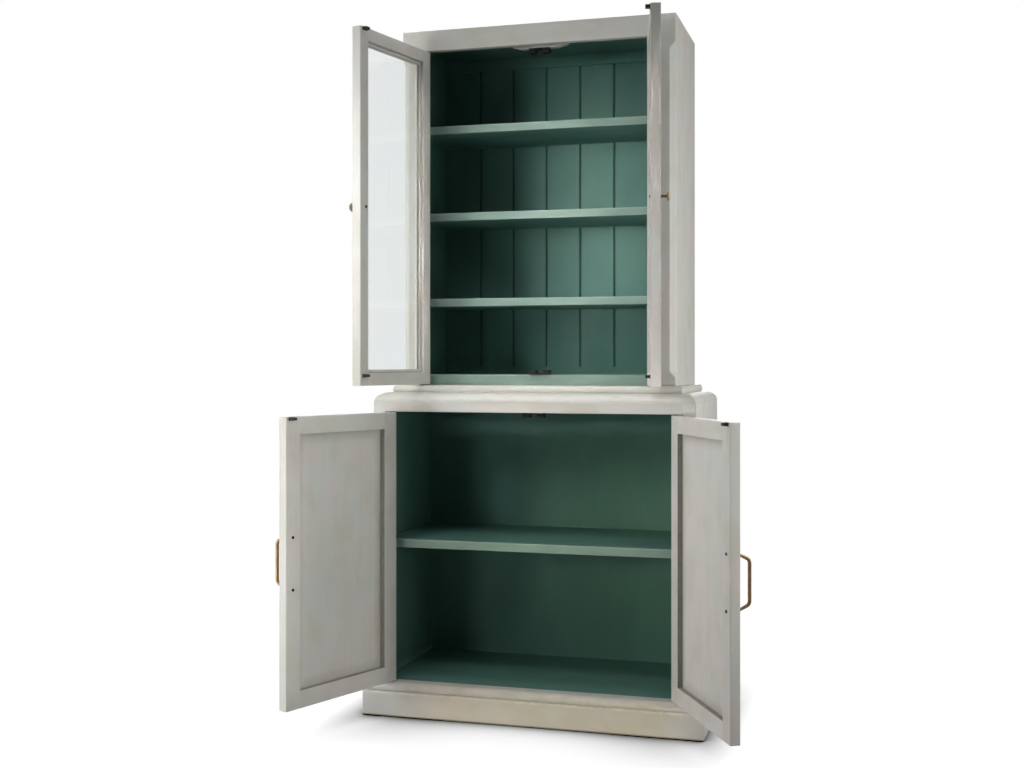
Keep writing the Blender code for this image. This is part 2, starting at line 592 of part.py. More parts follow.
def build_bow(name, parent):
    """A square-shouldered bow (a half superellipse) whose ends sink into the roses of its two bolts."""
    curve = bpy.data.curves.new(name, "CURVE")
    curve.dimensions = "3D"
    curve.bevel_depth = HANDLE_RADIUS
    curve.bevel_resolution = 2
    curve.use_fill_caps = True
    spline = curve.splines.new("POLY")
    spline.points.add(BOW_POINTS - 1)
    bow_height = HANDLE_PROJECTION - HANDLE_RADIUS - HANDLE_ROSE_HEIGHT / 2
    for index, point in enumerate(spline.points):
        turn = math.pi * index / (BOW_POINTS - 1)
        lift = HANDLE_ROSE_HEIGHT / 2 + bow_height * math.sqrt(math.sin(turn))
        along = math.copysign(math.sqrt(abs(math.cos(turn))), -math.cos(turn))
        point.co = (0.0, -lift, HANDLE_SPACING / 2 * along, 1.0)
        point.radius = 0.75 + 0.25 * math.sin(turn)
    source = bpy.data.objects.new(f"{name}_curve", curve)
    bpy.context.scene.collection.objects.link(source)
    mesh = bpy.data.meshes.new_from_object(source.evaluated_get(bpy.context.evaluated_depsgraph_get()))
    bpy.data.objects.remove(source, do_unlink=True)
    bm = bmesh.new()
    bm.from_mesh(mesh)
    bmesh.ops.remove_doubles(bm, verts=bm.verts, dist=0.00005)
    bpy.data.meshes.remove(mesh)
    return add_object(name, mesh_from(bm, name), BRASS, parent)


def build_handle(door, frame):
    """A bow handle with a bolt through the frame at each end."""
    middle = (door.low + door.high) / 2
    x = -door.side * (door.free - HANDLE_FROM_EDGE)
    handle = build_bow(f"{door.name}_handle", door.hinge)
    handle.location = (x, door.outer, middle)
    profile = [(0.0, HANDLE_ROSE_HEIGHT)] + bolt_profile(HANDLE_ROSE_RADIUS, HANDLE_ROSE_HEIGHT)
    for label, way in (("lower_bolt", -1), ("upper_bolt", 1)):
        height = middle + way * HANDLE_SPACING / 2
        door.drill_bolt(frame, f"{label}_hole", HANDLE_FROM_EDGE, height)
        bolt = turned(f"{door.name}_{label}", profile, TURNED_SIDES, None, door.hinge, CUTTER_COLLECTION)
        bolt.location = (x, door.outer, height)
        bolt.rotation_euler.x = math.pi / 2
        combine(handle, as_cutter(bolt), "UNION")


def build_lower_door(name, side):
    """A frame-and-panel door with its bow handle and one strike."""
    door = Door(name, side, BASE_OPENING_HALF, BASE_FRONT, (PLINTH_HEIGHT, BASE_OPENING_TOP), LOWER_DOOR_STILE,
                LOWER_DOOR_RAIL)
    frame = door.build_frame()
    seat = door.outer + PANEL_LIP
    x, z = door.window(PANEL_GROOVE)
    cut_box(frame, "panel_groove", x, (seat, seat + PANEL_THICKNESS + 2 * FIT), z, door.hinge)
    x, z = door.window(PANEL_GROOVE - FIT)
    board(f"{name}_panel", x, (seat + FIT, seat + FIT + PANEL_THICKNESS), z, LIMED, door.hinge)
    build_handle(door, frame)
    door.build_strike("strike", door.high)
    door.build_pins()


def build_cabinet():
    """Build the whole cabinet from the floor up."""
    build_plinth()
    build_base()
    build_foot()
    build_hutch()
    build_catches()
    for name, side in (("upper_left", -1), ("upper_right", 1)):
        build_upper_door(name, side)
    for name, side in (("lower_left", -1), ("lower_right", 1)):
        build_lower_door(name, side)


build_cabinet()
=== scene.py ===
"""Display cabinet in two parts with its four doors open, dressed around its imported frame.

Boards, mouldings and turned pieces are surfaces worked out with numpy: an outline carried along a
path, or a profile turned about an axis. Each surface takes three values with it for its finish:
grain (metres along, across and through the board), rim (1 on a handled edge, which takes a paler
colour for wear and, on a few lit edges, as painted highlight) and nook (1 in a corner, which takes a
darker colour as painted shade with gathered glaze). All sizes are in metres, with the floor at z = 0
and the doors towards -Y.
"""

import json
import logging
import math
from collections.abc import Sequence
from dataclasses import dataclass, replace
from enum import Enum
from typing import ClassVar

import bpy
import numpy as np
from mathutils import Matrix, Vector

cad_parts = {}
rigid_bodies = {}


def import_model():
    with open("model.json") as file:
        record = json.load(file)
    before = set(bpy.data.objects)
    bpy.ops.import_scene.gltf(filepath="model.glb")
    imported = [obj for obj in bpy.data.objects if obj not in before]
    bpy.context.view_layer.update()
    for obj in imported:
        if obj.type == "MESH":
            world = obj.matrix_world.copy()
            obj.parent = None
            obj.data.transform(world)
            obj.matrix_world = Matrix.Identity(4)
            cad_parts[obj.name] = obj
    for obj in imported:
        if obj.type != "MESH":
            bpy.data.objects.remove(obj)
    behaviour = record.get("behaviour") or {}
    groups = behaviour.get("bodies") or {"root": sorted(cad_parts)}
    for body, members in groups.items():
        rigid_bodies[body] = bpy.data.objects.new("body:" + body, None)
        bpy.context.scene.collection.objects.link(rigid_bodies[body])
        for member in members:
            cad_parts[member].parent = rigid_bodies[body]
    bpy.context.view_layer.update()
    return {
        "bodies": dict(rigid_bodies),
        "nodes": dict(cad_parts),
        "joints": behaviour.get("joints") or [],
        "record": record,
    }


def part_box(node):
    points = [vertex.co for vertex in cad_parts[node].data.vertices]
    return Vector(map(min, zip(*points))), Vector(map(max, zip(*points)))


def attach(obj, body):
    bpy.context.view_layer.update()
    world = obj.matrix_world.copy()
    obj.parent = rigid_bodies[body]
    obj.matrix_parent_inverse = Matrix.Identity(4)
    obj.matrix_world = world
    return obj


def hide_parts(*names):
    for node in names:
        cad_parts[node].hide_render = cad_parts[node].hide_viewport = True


LOG = logging.getLogger("display_cabinet")
Array = np.ndarray
Colour = tuple[float, float, float]
Point = tuple[float, float, float]
Span = tuple[float, float]
Ring = tuple[float, float, float, float]
Inputs = dict[str | int, object]
Socket = bpy.types.NodeSocket
Material = bpy.types.Material

CASE = "cabinet"
REAR: Point = (0.0, 1.0, 0.0)
DOWN: Point = (0.0, 0.0, -1.0)
WHITE = (1.0, 1.0, 1.0, 1.0)

# Gap between neighbouring pieces, least step between surfaces of one piece, and what counts as nothing.
FIT = 0.0003
HAIRLINE = 0.0001
TINY = 1e-12

# Share of an edge's wear at the nearer of the two points beside it, and of the paler edge colour on a
# shelf's whole front, which is wear and painted highlight.
FADE = 0.35
SHELF_WEAR_AND_LIGHT = 0.7

# Least cosine between a face and the way it is said to look.
FACING = 0.9

# Share that is used of the draw-in at which an outline would fold.
FOLD_MARGIN = 0.9

# Rows that carry a turned piece's axis out of a door's outer face, or in from its inner face.
OUT_OF_DOOR = np.array(((0, -1, 0), (0, 0, 1), (-1, 0, 0)), float)
INTO_CASE = np.array(((0, 1, 0), (0, 0, 1), (1, 0, 0)), float)


def linear(red: int, green: int, blue: int) -> Colour:
    """Turn a colour as it looks on screen, 0 to 255, into linear light."""
    shares = np.array((red, green, blue)) / 255
    light = np.where(shares > 0.04045, ((shares + 0.055) / 1.055) ** 2.4, shares / 12.92)
    return tuple(float(share) for share in light)


def put_in_scene(name: str, data: bpy.types.ID) -> bpy.types.Object:
    """Make an object of this data and put it in the scene."""
    thing = bpy.data.objects.new(name, data)
    bpy.context.scene.collection.objects.link(thing)
    return thing


class Grain(Enum):
    """Axis along which a board's fibres, and so its brush strokes, run."""

    ACROSS = 0
    DEEP = 1
    UPRIGHT = 2


class Wear(Enum):
    """What a board's edges look like."""

    RUBBED = "rubbed"
    # Edges that take painted shade and glaze in place of wear, where a panel meets its frame.
    GLAZED = "glazed"
    CLEAN = "clean"


class Coat(Enum):
    """Finishes, by the name of the material slot that each one belongs to."""

    LIMED = "limed_paint"
    GREEN = "green_paint"
    GLASS = "clear_glass"
    BRASS = "aged_brass"
    STEEL = "pin_steel"
    BLACK = "black_plastic"


class Coords(Enum):
    """Where a finish takes the place of its pattern from."""

    GRAIN = "grain"
    OBJECT = "object"


class Graph:
    """The node tree of a material or world, with short calls for the nodes that the finishes share."""

    def __init__(self, owner: Material | bpy.types.World) -> None:
        """Start an empty node tree on its owner."""
        owner.use_nodes = True
        self.owner = owner
        self.tree = owner.node_tree
        self.tree.nodes.clear()

    @classmethod
    def of_material(cls, name: str) -> "Graph":
        """Start the node tree of a new material."""
        return cls(bpy.data.materials.new(name))

    def add(self, kind: str, inputs: Inputs | None = None, **settings: object) -> bpy.types.Node:
        """Add a node.

        Args:
            kind: Blender's name for the node type.
            inputs: values for its sockets; a socket given here is linked.
            settings: the node's own properties.

        Returns:
            The node.
        """
        node = self.tree.nodes.new(kind)
        for name, value in settings.items():
            setattr(node, name, value)
        for key, value in (inputs or {}).items():
            if isinstance(value, Socket):
                self.tree.links.new(value, node.inputs[key])
            else:
                node.inputs[key].default_value = value
        return node

    def place(self, coords: Coords) -> Socket:
        """Give the coordinates that the pattern is laid out in."""
        if coords is Coords.GRAIN:
            return self.add("ShaderNodeAttribute", attribute_name="grain").outputs["Vector"]
        return self.add("ShaderNodeTexCoord").outputs["Object"]

    def value(self, name: str) -> Socket:
        """Read one of the surface's own values."""
        return self.add("ShaderNodeAttribute", attribute_name=name).outputs["Fac"]

    def noise(self, place: Socket, stretch: Colour, detail: float, roughness: float = 0.55,
              warp: float = 0.0) -> Socket:
        """Fractal noise, stretched along the three axes.

        Args:
            place: coordinates.
            stretch: cells per metre along each axis.
            detail: octaves.
            roughness: share of each finer octave.
            warp: how far the pattern is pulled about.

        Returns:
            The noise, about 0.3 to 0.7.
        """
        spot = self.add("ShaderNodeMapping", {"Vector": place, "Scale": stretch}).outputs["Vector"]
        inputs = {"Vector": spot, "Scale": 1.0, "Detail": detail, "Roughness": roughness, "Distortion": warp}
        return self.add("ShaderNodeTexNoise", inputs).outputs["Fac"]

    def spread(self, value: Socket, start: Span, end: Span) -> Socket:
        """Map one range of values onto another, held at the ends."""
        inputs = {"Value": value, "From Min": start[0], "From Max": start[1]}
        inputs |= {"To Min": end[0], "To Max": end[1]}
        return self.add("ShaderNodeMapRange", inputs).outputs["Result"]

    def blend(self, share: Socket, first: object, second: object) -> Socket:
        """Mix two colours; a plain colour is a tuple of three."""
        sides = [(*side, 1.0) if isinstance(side, tuple) else side for side in (first, second)]
        node = self.add("ShaderNodeMix", data_type="RGBA")
        self.tree.links.new(share, node.inputs[0])
        for index, side in zip((6, 7), sides):
            if isinstance(side, tuple):
                node.inputs[index].default_value = side
            else:
                self.tree.links.new(side, node.inputs[index])
        return node.outputs[2]

    def maths(self, operation: str, first: object, second: object) -> Socket:
        """Work out one sum on two values."""
        return self.add("ShaderNodeMath", {0: first, 1: second}, operation=operation).outputs[0]

    def vector(self, operation: str, first: object, second: object = (0.0, 0.0, 0.0)) -> Socket:
        """Work out one sum on two vectors."""
        return self.add("ShaderNodeVectorMath", {0: first, 1: second}, operation=operation).outputs[0]

    def bump(self, height: Socket, strength: float, depth: float) -> Socket:
        """Turn heights into a surface normal."""
        inputs = {"Height": height, "Strength": strength, "Distance": depth}
        return self.add("ShaderNodeBump", inputs).outputs["Normal"]

    def surface(self, inputs: Inputs) -> Material:
        """Finish the tree with a Principled shader that has these inputs."""
        shader = self.add("ShaderNodeBsdfPrincipled", inputs)
        return self.output(shader.outputs[0])

    def output(self, shader: Socket) -> Material:
        """Finish the tree with this shader."""
        self.add("ShaderNodeOutputMaterial", {"Surface": shader})
        return self.owner


@dataclass(frozen=True)
class LimedPaint:
    """Brushed greige paint under a streaky glaze, paler on worn edges and as painted highlight on the
    plinth's arris, darker in its corners with painted shade.
    """

    name: str = "limed_paint"
    coords: Coords = Coords.GRAIN
    cool: Colour = linear(201, 203, 197)
    rosy: Colour = linear(207, 202, 197)
    olive: Colour = linear(197, 194, 181)
    glaze: Colour = linear(160, 153, 138)
    # Dark colour of painted shade in corners, recesses and along the plinth's foot, with gathered glaze.
    corner: Colour = linear(98, 91, 75)
    # Paler colour of worn edges, which also paints the highlight along the plinth's arris.
    rubbed: Colour = linear(222, 220, 213)

    def make(self) -> Material:
        """Build the node tree: broad mottling, soft streaks along the grain, then paler edges for wear and
        painted highlight, and corners darkened with painted shade.
        """
        graph = Graph.of_material(self.name)
        place = graph.place(self.coords)
        mottle = graph.noise(place, (6.0, 9.0, 9.0), 2.5, 0.5, 0.5)
        cloud = graph.noise(place, (10.0, 14.0, 14.0), 2.0, 0.5, 0.4)
        streak = graph.noise(place, (5.0, 70.0, 70.0), 3.0, 0.55, 0.3)
        bristle = graph.noise(place, (16.0, 620.0, 620.0), 2.0)
        colour = graph.blend(graph.spread(mottle, (0.38, 0.62), (0.0, 1.0)), self.cool, self.rosy)
        colour = graph.blend(graph.spread(cloud, (0.45, 0.7), (0.0, 0.8)), colour, self.olive)
        colour = graph.blend(graph.spread(streak, (0.42, 0.75), (0.0, 0.07)), colour, self.glaze)
        colour = graph.blend(graph.spread(bristle, (0.5, 0.75), (0.0, 0.03)), colour, self.glaze)
        broken = graph.spread(graph.noise(place, (45.0, 90.0, 90.0), 3.0), (0.42, 0.62), (0.15, 1.0))
        if self.coords is Coords.GRAIN:
            # Paler colour on the rim: wear, and a painted highlight along the plinth's arris.
            rim = graph.maths("MULTIPLY", graph.value("rim"), broken)
            colour = graph.blend(graph.maths("MULTIPLY", rim, 0.45), colour, self.rubbed)
            # Painted shade, a little patchy, darkens the corners that the nook value marks.
            patchy = graph.spread(broken, (0.0, 1.0), (0.66, 0.76))
            nook = graph.maths("MULTIPLY", graph.value("nook"), patchy)
            colour = graph.blend(nook, colour, self.corner)
        relief = graph.maths("ADD", streak, graph.maths("MULTIPLY", bristle, 0.4))
        gloss = graph.spread(streak, (0.35, 0.7), (0.5, 0.64))
        return graph.surface({"Base Color": colour, "Roughness": gloss, "Specular IOR Level": 0.3,
                              "Normal": graph.bump(relief, 0.10, 0.0003)})


@dataclass(frozen=True)
class GreenPaint:
    """Satin blue-green paint with faint brush marks, paler on worn edges and as painted highlight on the
    shelves' lit front edges, darker in the back's grooves with painted shade.
    """

    name: str = "green_paint"
    coords: Coords = Coords.GRAIN
    body: Colour = linear(101, 140, 130)
    deep: Colour = linear(91, 130, 121)
    # Paler colour of worn edges, which also paints highlight on the shelves' lit front edges.
    rubbed: Colour = linear(165, 180, 167)
    # Dark colour of painted shade in the grooves of the hutch back.
    groove: Colour = linear(42, 66, 58)

    def make(self) -> Material:
        """Build the node tree: slow drift of colour, laid-off brush lines, pale edges for wear and painted
        highlight, and grooves darkened as painted shade.
        """
        graph = Graph.of_material(self.name)
        place = graph.place(self.coords)
        drift = graph.noise(place, (3.0, 6.0, 6.0), 3.0, 0.5, 0.4)
        brush = graph.noise(place, (7.0, 260.0, 260.0), 4.0, 0.6)
        colour = graph.blend(graph.spread(drift, (0.36, 0.64), (0.0, 1.0)), self.body, self.deep)
        colour = graph.blend(graph.spread(brush, (0.45, 0.75), (0.0, 0.25)), colour, self.deep)
        if self.coords is Coords.GRAIN:
            broken = graph.spread(graph.noise(place, (12.0, 40.0, 40.0), 2.0), (0.35, 0.65), (0.75, 1.0))
            # Paler colour on the rim: wear, and a painted highlight on the shelves' lit front edges.
            rim = graph.maths("MULTIPLY", graph.value("rim"), broken)
            colour = graph.blend(graph.maths("MULTIPLY", rim, 0.8), colour, self.rubbed)
            # Painted shade darkens the grooves that the nook value marks.
            colour = graph.blend(graph.maths("MULTIPLY", graph.value("nook"), 0.8), colour, self.groove)
        gloss = graph.spread(brush, (0.35, 0.7), (0.42, 0.56))
        return graph.surface({"Base Color": colour, "Roughness": gloss, "Specular IOR Level": 0.25,
                              "Normal": graph.bump(brush, 0.18, 0.0003)})


@dataclass(frozen=True)
class ClearGlass:
    """Window glass with a trace of haze and hardly any waviness."""

    name: str = "clear_glass"
    tint: Colour = (0.89, 0.915, 0.915)

    def make(self) -> Material:
        """Build the node tree: haze from slow noise, and a slight draw in the sheet."""
        graph = Graph.of_material(self.name)
        place = graph.place(Coords.GRAIN)
        haze = graph.noise(place, (6.0, 14.0, 14.0), 4.0, 0.6)
        draw = graph.noise(place, (1.6, 5.0, 5.0), 1.0)
        return graph.surface({"Base Color": (*self.tint, 1.0), "Transmission Weight": 1.0, "IOR": 1.5,
                              "Roughness": graph.spread(haze, (0.45, 0.75), (0.0, 0.05)),
                              "Normal": graph.bump(draw, 0.06, 0.0006)})


@dataclass(frozen=True)
class AgedBrass:
    """Lacquered brass gone tan, darker in its turned lines and on its bolts, paler with polish and as a
    painted highlight on the knob's disc.
    """

    name: str = "aged_brass"
    bright: Colour = linear(176, 145, 108)
    brown: Colour = linear(126, 97, 66)
    polish_and_highlight: Colour = linear(230, 210, 180)
    bolt: Colour = linear(38, 33, 28)

    def make(self) -> Material:
        """Build the node tree: blotched tarnish, fine turning lines, pale polish with painted highlight, and
        dark bolt heads.
        """
        graph = Graph.of_material(self.name)
        place = graph.place(Coords.GRAIN)
        tarnish = graph.noise(place, (90.0, 160.0, 160.0), 4.0, 0.6, 0.4)
        lines = graph.noise(place, (2600.0, 60.0, 60.0), 2.0)
        colour = graph.blend(graph.spread(tarnish, (0.36, 0.66), (0.1, 0.85)), self.bright, self.brown)
        # Pale colour on the rim: polish, and a painted highlight round the knob's disc.
        colour = graph.blend(graph.value("rim"), colour, self.polish_and_highlight)
        colour = graph.blend(graph.value("nook"), colour, self.bolt)
        return graph.surface({"Base Color": colour, "Metallic": 1.0,
                              "Roughness": graph.spread(tarnish, (0.35, 0.7), (0.5, 0.66)),
                              "Normal": graph.bump(lines, 0.12, 0.0002)})


@dataclass(frozen=True)
class PinSteel:
    """Plain turned steel."""

    name: str = "pin_steel"
    bright: Colour = linear(192, 192, 188)
    dull: Colour = linear(136, 136, 134)

    def make(self) -> Material:
        """Build the node tree: turning lines across the axis."""
        graph = Graph.of_material(self.name)
        lines = graph.noise(graph.place(Coords.GRAIN), (3000.0, 40.0, 40.0), 3.0)
        colour = graph.blend(graph.spread(lines, (0.35, 0.65), (0.0, 1.0)), self.bright, self.dull)
        return graph.surface({"Base Color": colour, "Metallic": 1.0,
                              "Roughness": graph.spread(lines, (0.3, 0.7), (0.25, 0.42)),
                              "Normal": graph.bump(lines, 0.15, 0.0001)})


@dataclass(frozen=True)
class BlackPlastic:
    """Fine-grained moulded plastic, greyer on its edges."""

    name: str = "black_plastic"
    body: Colour = linear(22, 22, 21)
    worn: Colour = linear(52, 51, 48)

    def make(self) -> Material:
        """Build the node tree: moulding grain in colour, gloss and relief."""
        graph = Graph.of_material(self.name)
        place = graph.place(Coords.GRAIN)
        speck = graph.noise(place, (1800.0, 1800.0, 1800.0), 2.0)
        colour = graph.blend(graph.spread(speck, (0.5, 0.75), (0.0, 0.35)), self.body, self.worn)
        colour = graph.blend(graph.maths("MULTIPLY", graph.value("rim"), 0.5), colour, self.worn)
        gloss = graph.spread(speck, (0.3, 0.7), (0.42, 0.62))
        return graph.surface({"Base Color": colour, "Roughness": gloss,
                              "Normal": graph.bump(speck, 0.2, 0.0001)})


@dataclass
class Shell:
    """One closed surface, or several, with the values that its finish reads.

    Attributes:
        points: positions, one row each.
        quads: corner numbers of the four-sided faces.
        caps: corner numbers of each flat end.
        grain: metres along, across and through the board at each point.
        rim: 1 on a handled edge, down to 0 away from it; paler for wear, and as painted highlight on lit
            edges.
        nook: 1 in a corner, down to 0 away from it; painted shade with gathered glaze, and on brass the bolt
            heads.
        tones: number of the coat on each face, quads first.
    """

    points: Array
    quads: Array
    caps: list[Array]
    grain: Array
    rim: Array
    nook: Array
    tones: Array

    def turned(self, axes: Array, origin: Array) -> "Shell":
        """Move the surface into another frame.

        Args:
            axes: where each of its own axes points there, one row each.
            origin: where its own origin lies there.

        Returns:
            The moved surface, with its faces still outwards if the frame is mirrored.
        """
        mirrored = np.linalg.det(axes) < 0
        quads = self.quads[:, ::-1] if mirrored else self.quads
        caps = [cap[::-1] for cap in self.caps] if mirrored else self.caps
        return replace(self, points=self.points @ axes + origin, quads=quads, caps=caps)

    def laid(self, grain: Grain) -> "Shell":
        """Lay the surface's path along the axis of its grain."""
        return self.turned(axes_along(grain), np.zeros(3))

    def painted(self, facing: Point, tone: int = 1) -> "Shell":
        """Give another coat to the flat faces that look one way."""
        corners = self.points[self.quads]
        normals = np.cross(corners[:, 2] - corners[:, 0], corners[:, 3] - corners[:, 1])
        flat = [cap[[0, len(cap) // 3, 2 * len(cap) // 3]] for cap in self.caps]
        ends = self.points[np.array(flat)]
        normals = np.vstack((normals, np.cross(ends[:, 1] - ends[:, 0], ends[:, 2] - ends[:, 0])))
        normals /= np.maximum(np.linalg.norm(normals, axis=1, keepdims=True), TINY)
        return replace(self, tones=np.where(normals @ np.array(facing) > FACING, tone, self.tones))

    def rubbed_front(self, wear: float) -> "Shell":
        """Give the whole front edge of a board the paler edge colour, as well as its arrises: wear, and
        painted highlight where the front is lit.
        """
        front = self.points[:, 1] < self.points[:, 1].min() + HAIRLINE
        return replace(self, rim=np.maximum(self.rim, wear * front))

    @staticmethod
    def joined(shells: Sequence["Shell"]) -> "Shell":
        """Put several closed surfaces into one."""
        starts = np.cumsum([0] + [len(shell.points) for shell in shells[:-1]])
        quads = np.vstack([shell.quads + start for shell, start in zip(shells, starts)])
        caps = [cap + start for shell, start in zip(shells, starts) for cap in shell.caps]
        tones = np.concatenate([shell.tones[:len(shell.quads)] for shell in shells]
                               + [shell.tones[len(shell.quads):] for shell in shells])
        stack = {name: np.concatenate([getattr(shell, name) for shell in shells])
                 for name in ("points", "grain", "rim", "nook")}
        return Shell(quads=quads, caps=caps, tones=tones, **stack)


@dataclass(frozen=True)
class Easing:
    """How a sharp corner is rounded, and how far wear and shading reach from it.

    Attributes:
        radius: radius of the rounding.
        steps: faces in the rounding.
        near: reach of most of the wear.
        far: reach of all of it.
        radius_share: most of a side that the rounding may take.
        near_share: most of a side's straight part that near may take.
        far_share: most of it that far may take.
    """

    radius: float = 0.0012
    steps: int = 3
    near: float = 0.004
    far: float = 0.020
    radius_share: float = 0.4
    near_share: float = 0.2
    far_share: float = 0.45


CRISP = Easing(0.0004, 2, 0.003, 0.012)
SOFT = Easing(0.0020, 4, 0.005, 0.024)
CLOSED = Easing(0.00015, 1, 0.002, 0.010)
STILE_END = Easing(0.0008)
RAIL_END = Easing(0.0003, 2)
# Reach of the panel's painted shade and glaze from the frame.
PANEL_EDGE = Easing(0.0006, 2, 0.010, 0.034)
STRIKE_LIP = Easing(0.0005, 2, 0.001, 0.003)
STRIKE_BLOCK = replace(STRIKE_LIP, radius=0.0012)


@dataclass(frozen=True)
class Outline:
    """A closed outline with rounded corners.

    Attributes:
        points: positions in the plane, counter-clockwise.
        inward: how each point moves when every side is drawn in by 1.
        rim: 1 on outer corners.
        nook: 1 in inner corners.
    """

    points: Array
    inward: Array
    rim: Array
    nook: Array

    def most_inset(self) -> float:
        """Give the draw-in at which neighbours first meet: squared step over how fast the step closes."""
        step = np.roll(self.points, -1, axis=0) - self.points
        closing = -np.sum(step * (np.roll(self.inward, -1, axis=0) - self.inward), axis=1)
        meets = closing > TINY
        return float(np.min(np.sum(step ** 2, axis=1)[meets] / closing[meets], initial=np.inf))


def eased_outline(corners: Sequence[Span], easing: Easing, drawn: Sequence[float] | None = None) -> Outline:
    """Round the corners of a counter-clockwise polygon.

    A corner c between unit sides u and v turns through an angle a. Its arc starts at c - u r tan(a/2)
    and adds r (sin f u + (1 - cos f) n) for f from 0 to a, where n is u turned a quarter towards the
    bend. Two more points stand on each side of every arc, so that shading and wear stay near it.
    Drawing in moves a corner by the vector m that has m . n = 1 for the inward normals of both sides,
    and a point on a side by a mean of its two corners' vectors, weighted by how near each corner is.

    Args:
        corners: the polygon.
        easing: radius and reach.
        drawn: how far each side moves when the outline is drawn in by 1, from the side after corner 0.

    Returns:
        The outline.
    """
    corner = np.array(corners, float)
    count = len(corner)
    side_out = np.roll(corner, -1, axis=0) - corner
    length_out = np.linalg.norm(side_out, axis=1)
    out = side_out / length_out[:, None]
    into = np.roll(out, 1, axis=0)
    length_in = np.roll(length_out, 1)
    cross = into[:, 0] * out[:, 1] - into[:, 1] * out[:, 0]
    turn = np.abs(np.arctan2(cross, np.sum(into * out, axis=1)))
    slope = np.tan(turn / 2)
    radius = np.minimum(easing.radius, easing.radius_share * np.minimum(length_in, length_out) / slope)
    back = radius * slope
    left = np.stack((-into[:, 1], into[:, 0]), axis=1)
    bend = left * np.sign(cross)[:, None]
    swing = turn[:, None] * np.linspace(0, 1, easing.steps + 1)
    arc = (corner - into * back[:, None])[:, None] + radius[:, None, None] * (
        np.sin(swing)[..., None] * into[:, None] + (1 - np.cos(swing))[..., None] * bend[:, None])
    free = length_out - back - np.roll(back, -1)
    near = np.minimum(easing.near, easing.near_share * free)
    far = np.minimum(easing.far, easing.far_share * free)
    lead_by = back[:, None] + np.roll(np.stack((far, near), axis=1), 1, axis=0)
    trail_by = back[:, None] + np.stack((near, far), axis=1)
    lead = corner[:, None] - into[:, None] * lead_by[..., None]
    trail = corner[:, None] + out[:, None] * trail_by[..., None]
    left_out = np.stack((-out[:, 1], out[:, 0]), axis=1)
    weight_out = np.ones(count) if drawn is None else np.array(drawn, float)
    weight_in = np.roll(weight_out, 1)
    area = left[:, 0] * left_out[:, 1] - left[:, 1] * left_out[:, 0]
    inward = (weight_in[:, None] * np.stack((left_out[:, 1], -left_out[:, 0]), axis=1)
              + weight_out[:, None] * np.stack((-left[:, 1], left[:, 0]), axis=1)) / area[:, None]
    to_last = (np.roll(inward, 1, axis=0) - inward)[:, None]
    to_next = (np.roll(inward, -1, axis=0) - inward)[:, None]
    moves = np.concatenate((inward[:, None] + to_last * (lead_by / length_in[:, None])[..., None],
                            np.repeat(inward[:, None], easing.steps + 1, axis=1),
                            inward[:, None] + to_next * (trail_by / length_out[:, None])[..., None]), axis=1)
    fade = np.concatenate(([0.0, FADE], np.ones(easing.steps + 1), [FADE, 0.0]))
    outer = (cross > 0).astype(float)
    points = np.concatenate((lead, arc, trail), axis=1).reshape(-1, 2)
    return Outline(points, moves.reshape(-1, 2), (outer[:, None] * fade).ravel(),
                   ((1 - outer)[:, None] * fade).ravel())


@dataclass(frozen=True)
class Run:
    """Stations of an outline along its path: where, how far drawn in, and how worn."""

    along: Array
    inset: Array
    wear: Array
    thin_share: ClassVar[float] = 0.3
    length_share: ClassVar[float] = 0.2
    spare_share: ClassVar[float] = 0.5
    near_share: ClassVar[float] = 0.3
    far_share: ClassVar[float] = 0.6

    @staticmethod
    def eased(start: float, end: float, easing: Easing, thin: float) -> "Run":
        """Stations with a quarter-round at both ends, so the ends of a board are eased as its sides are.

        Args:
            start: first end.
            end: second end.
            easing: radius and reach.
            thin: half of the outline's least width.

        Returns:
            The stations.
        """
        radius = min(easing.radius, Run.thin_share * thin, Run.length_share * (end - start))
        swing = np.linspace(0, math.pi / 2, easing.steps + 1)
        spare = min(easing.near, Run.spare_share * (thin - radius))
        rest = (end - start) / 2 - radius
        near = min(easing.near, Run.near_share * rest)
        far = min(easing.far, Run.far_share * rest)
        reach = np.concatenate(([0.0], radius * (1 - np.cos(swing)), [radius + near, radius + far]))
        inset = np.concatenate(([radius + spare], radius * (1 - np.sin(swing)), [0.0, 0.0]))
        wear = np.concatenate(([FADE], np.ones(easing.steps + 1), [FADE, 0.0]))
        return Run(np.concatenate((start + reach, end - reach[::-1])), np.concatenate((inset, inset[::-1])),
                   np.concatenate((wear, wear[::-1])))


def ring_faces(rings: int, count: int) -> tuple[Array, list[Array]]:
    """Number the faces between closed rings of points, and the two ends."""
    number = np.arange(rings * count).reshape(rings, count)
    after = np.roll(number, -1, axis=1)
    quads = np.stack((number[:-1], after[:-1], after[1:], number[1:]), axis=2).reshape(-1, 4)
    return quads, [number[0, ::-1], number[-1]]


def carried(outlines: Array, along: Array, rim: Array, nook: Array, lean: Array | float = 0.0) -> Shell:
    """Carry an outline along a straight path.

    Ring i has the points (along[i] + lean[i] p, p, q) for each (p, q) of outlines[i]; neighbouring
    rings are joined by quads and the two ends are closed.

    Args:
        outlines: one outline per station, (stations, points, 2).
        along: place of each station.
        rim: wear at each point of each ring.
        nook: glaze at each point of each ring.
        lean: how far each station leans with the outline's first axis, for mitres.

    Returns:
        The surface, with the path along its first axis.
    """
    slant = np.broadcast_to(lean, along.shape)
    path = along[:, None] + slant[:, None] * outlines[..., 0]
    points = np.concatenate((path[..., None], outlines), axis=2).reshape(-1, 3)
    quads, caps = ring_faces(*outlines.shape[:2])
    shape = outlines.shape[:2]
    return Shell(points, quads, caps, points.copy(), np.broadcast_to(rim, shape).ravel().copy(),
                 np.broadcast_to(nook, shape).ravel().copy(), np.zeros(len(quads) + 2, int))


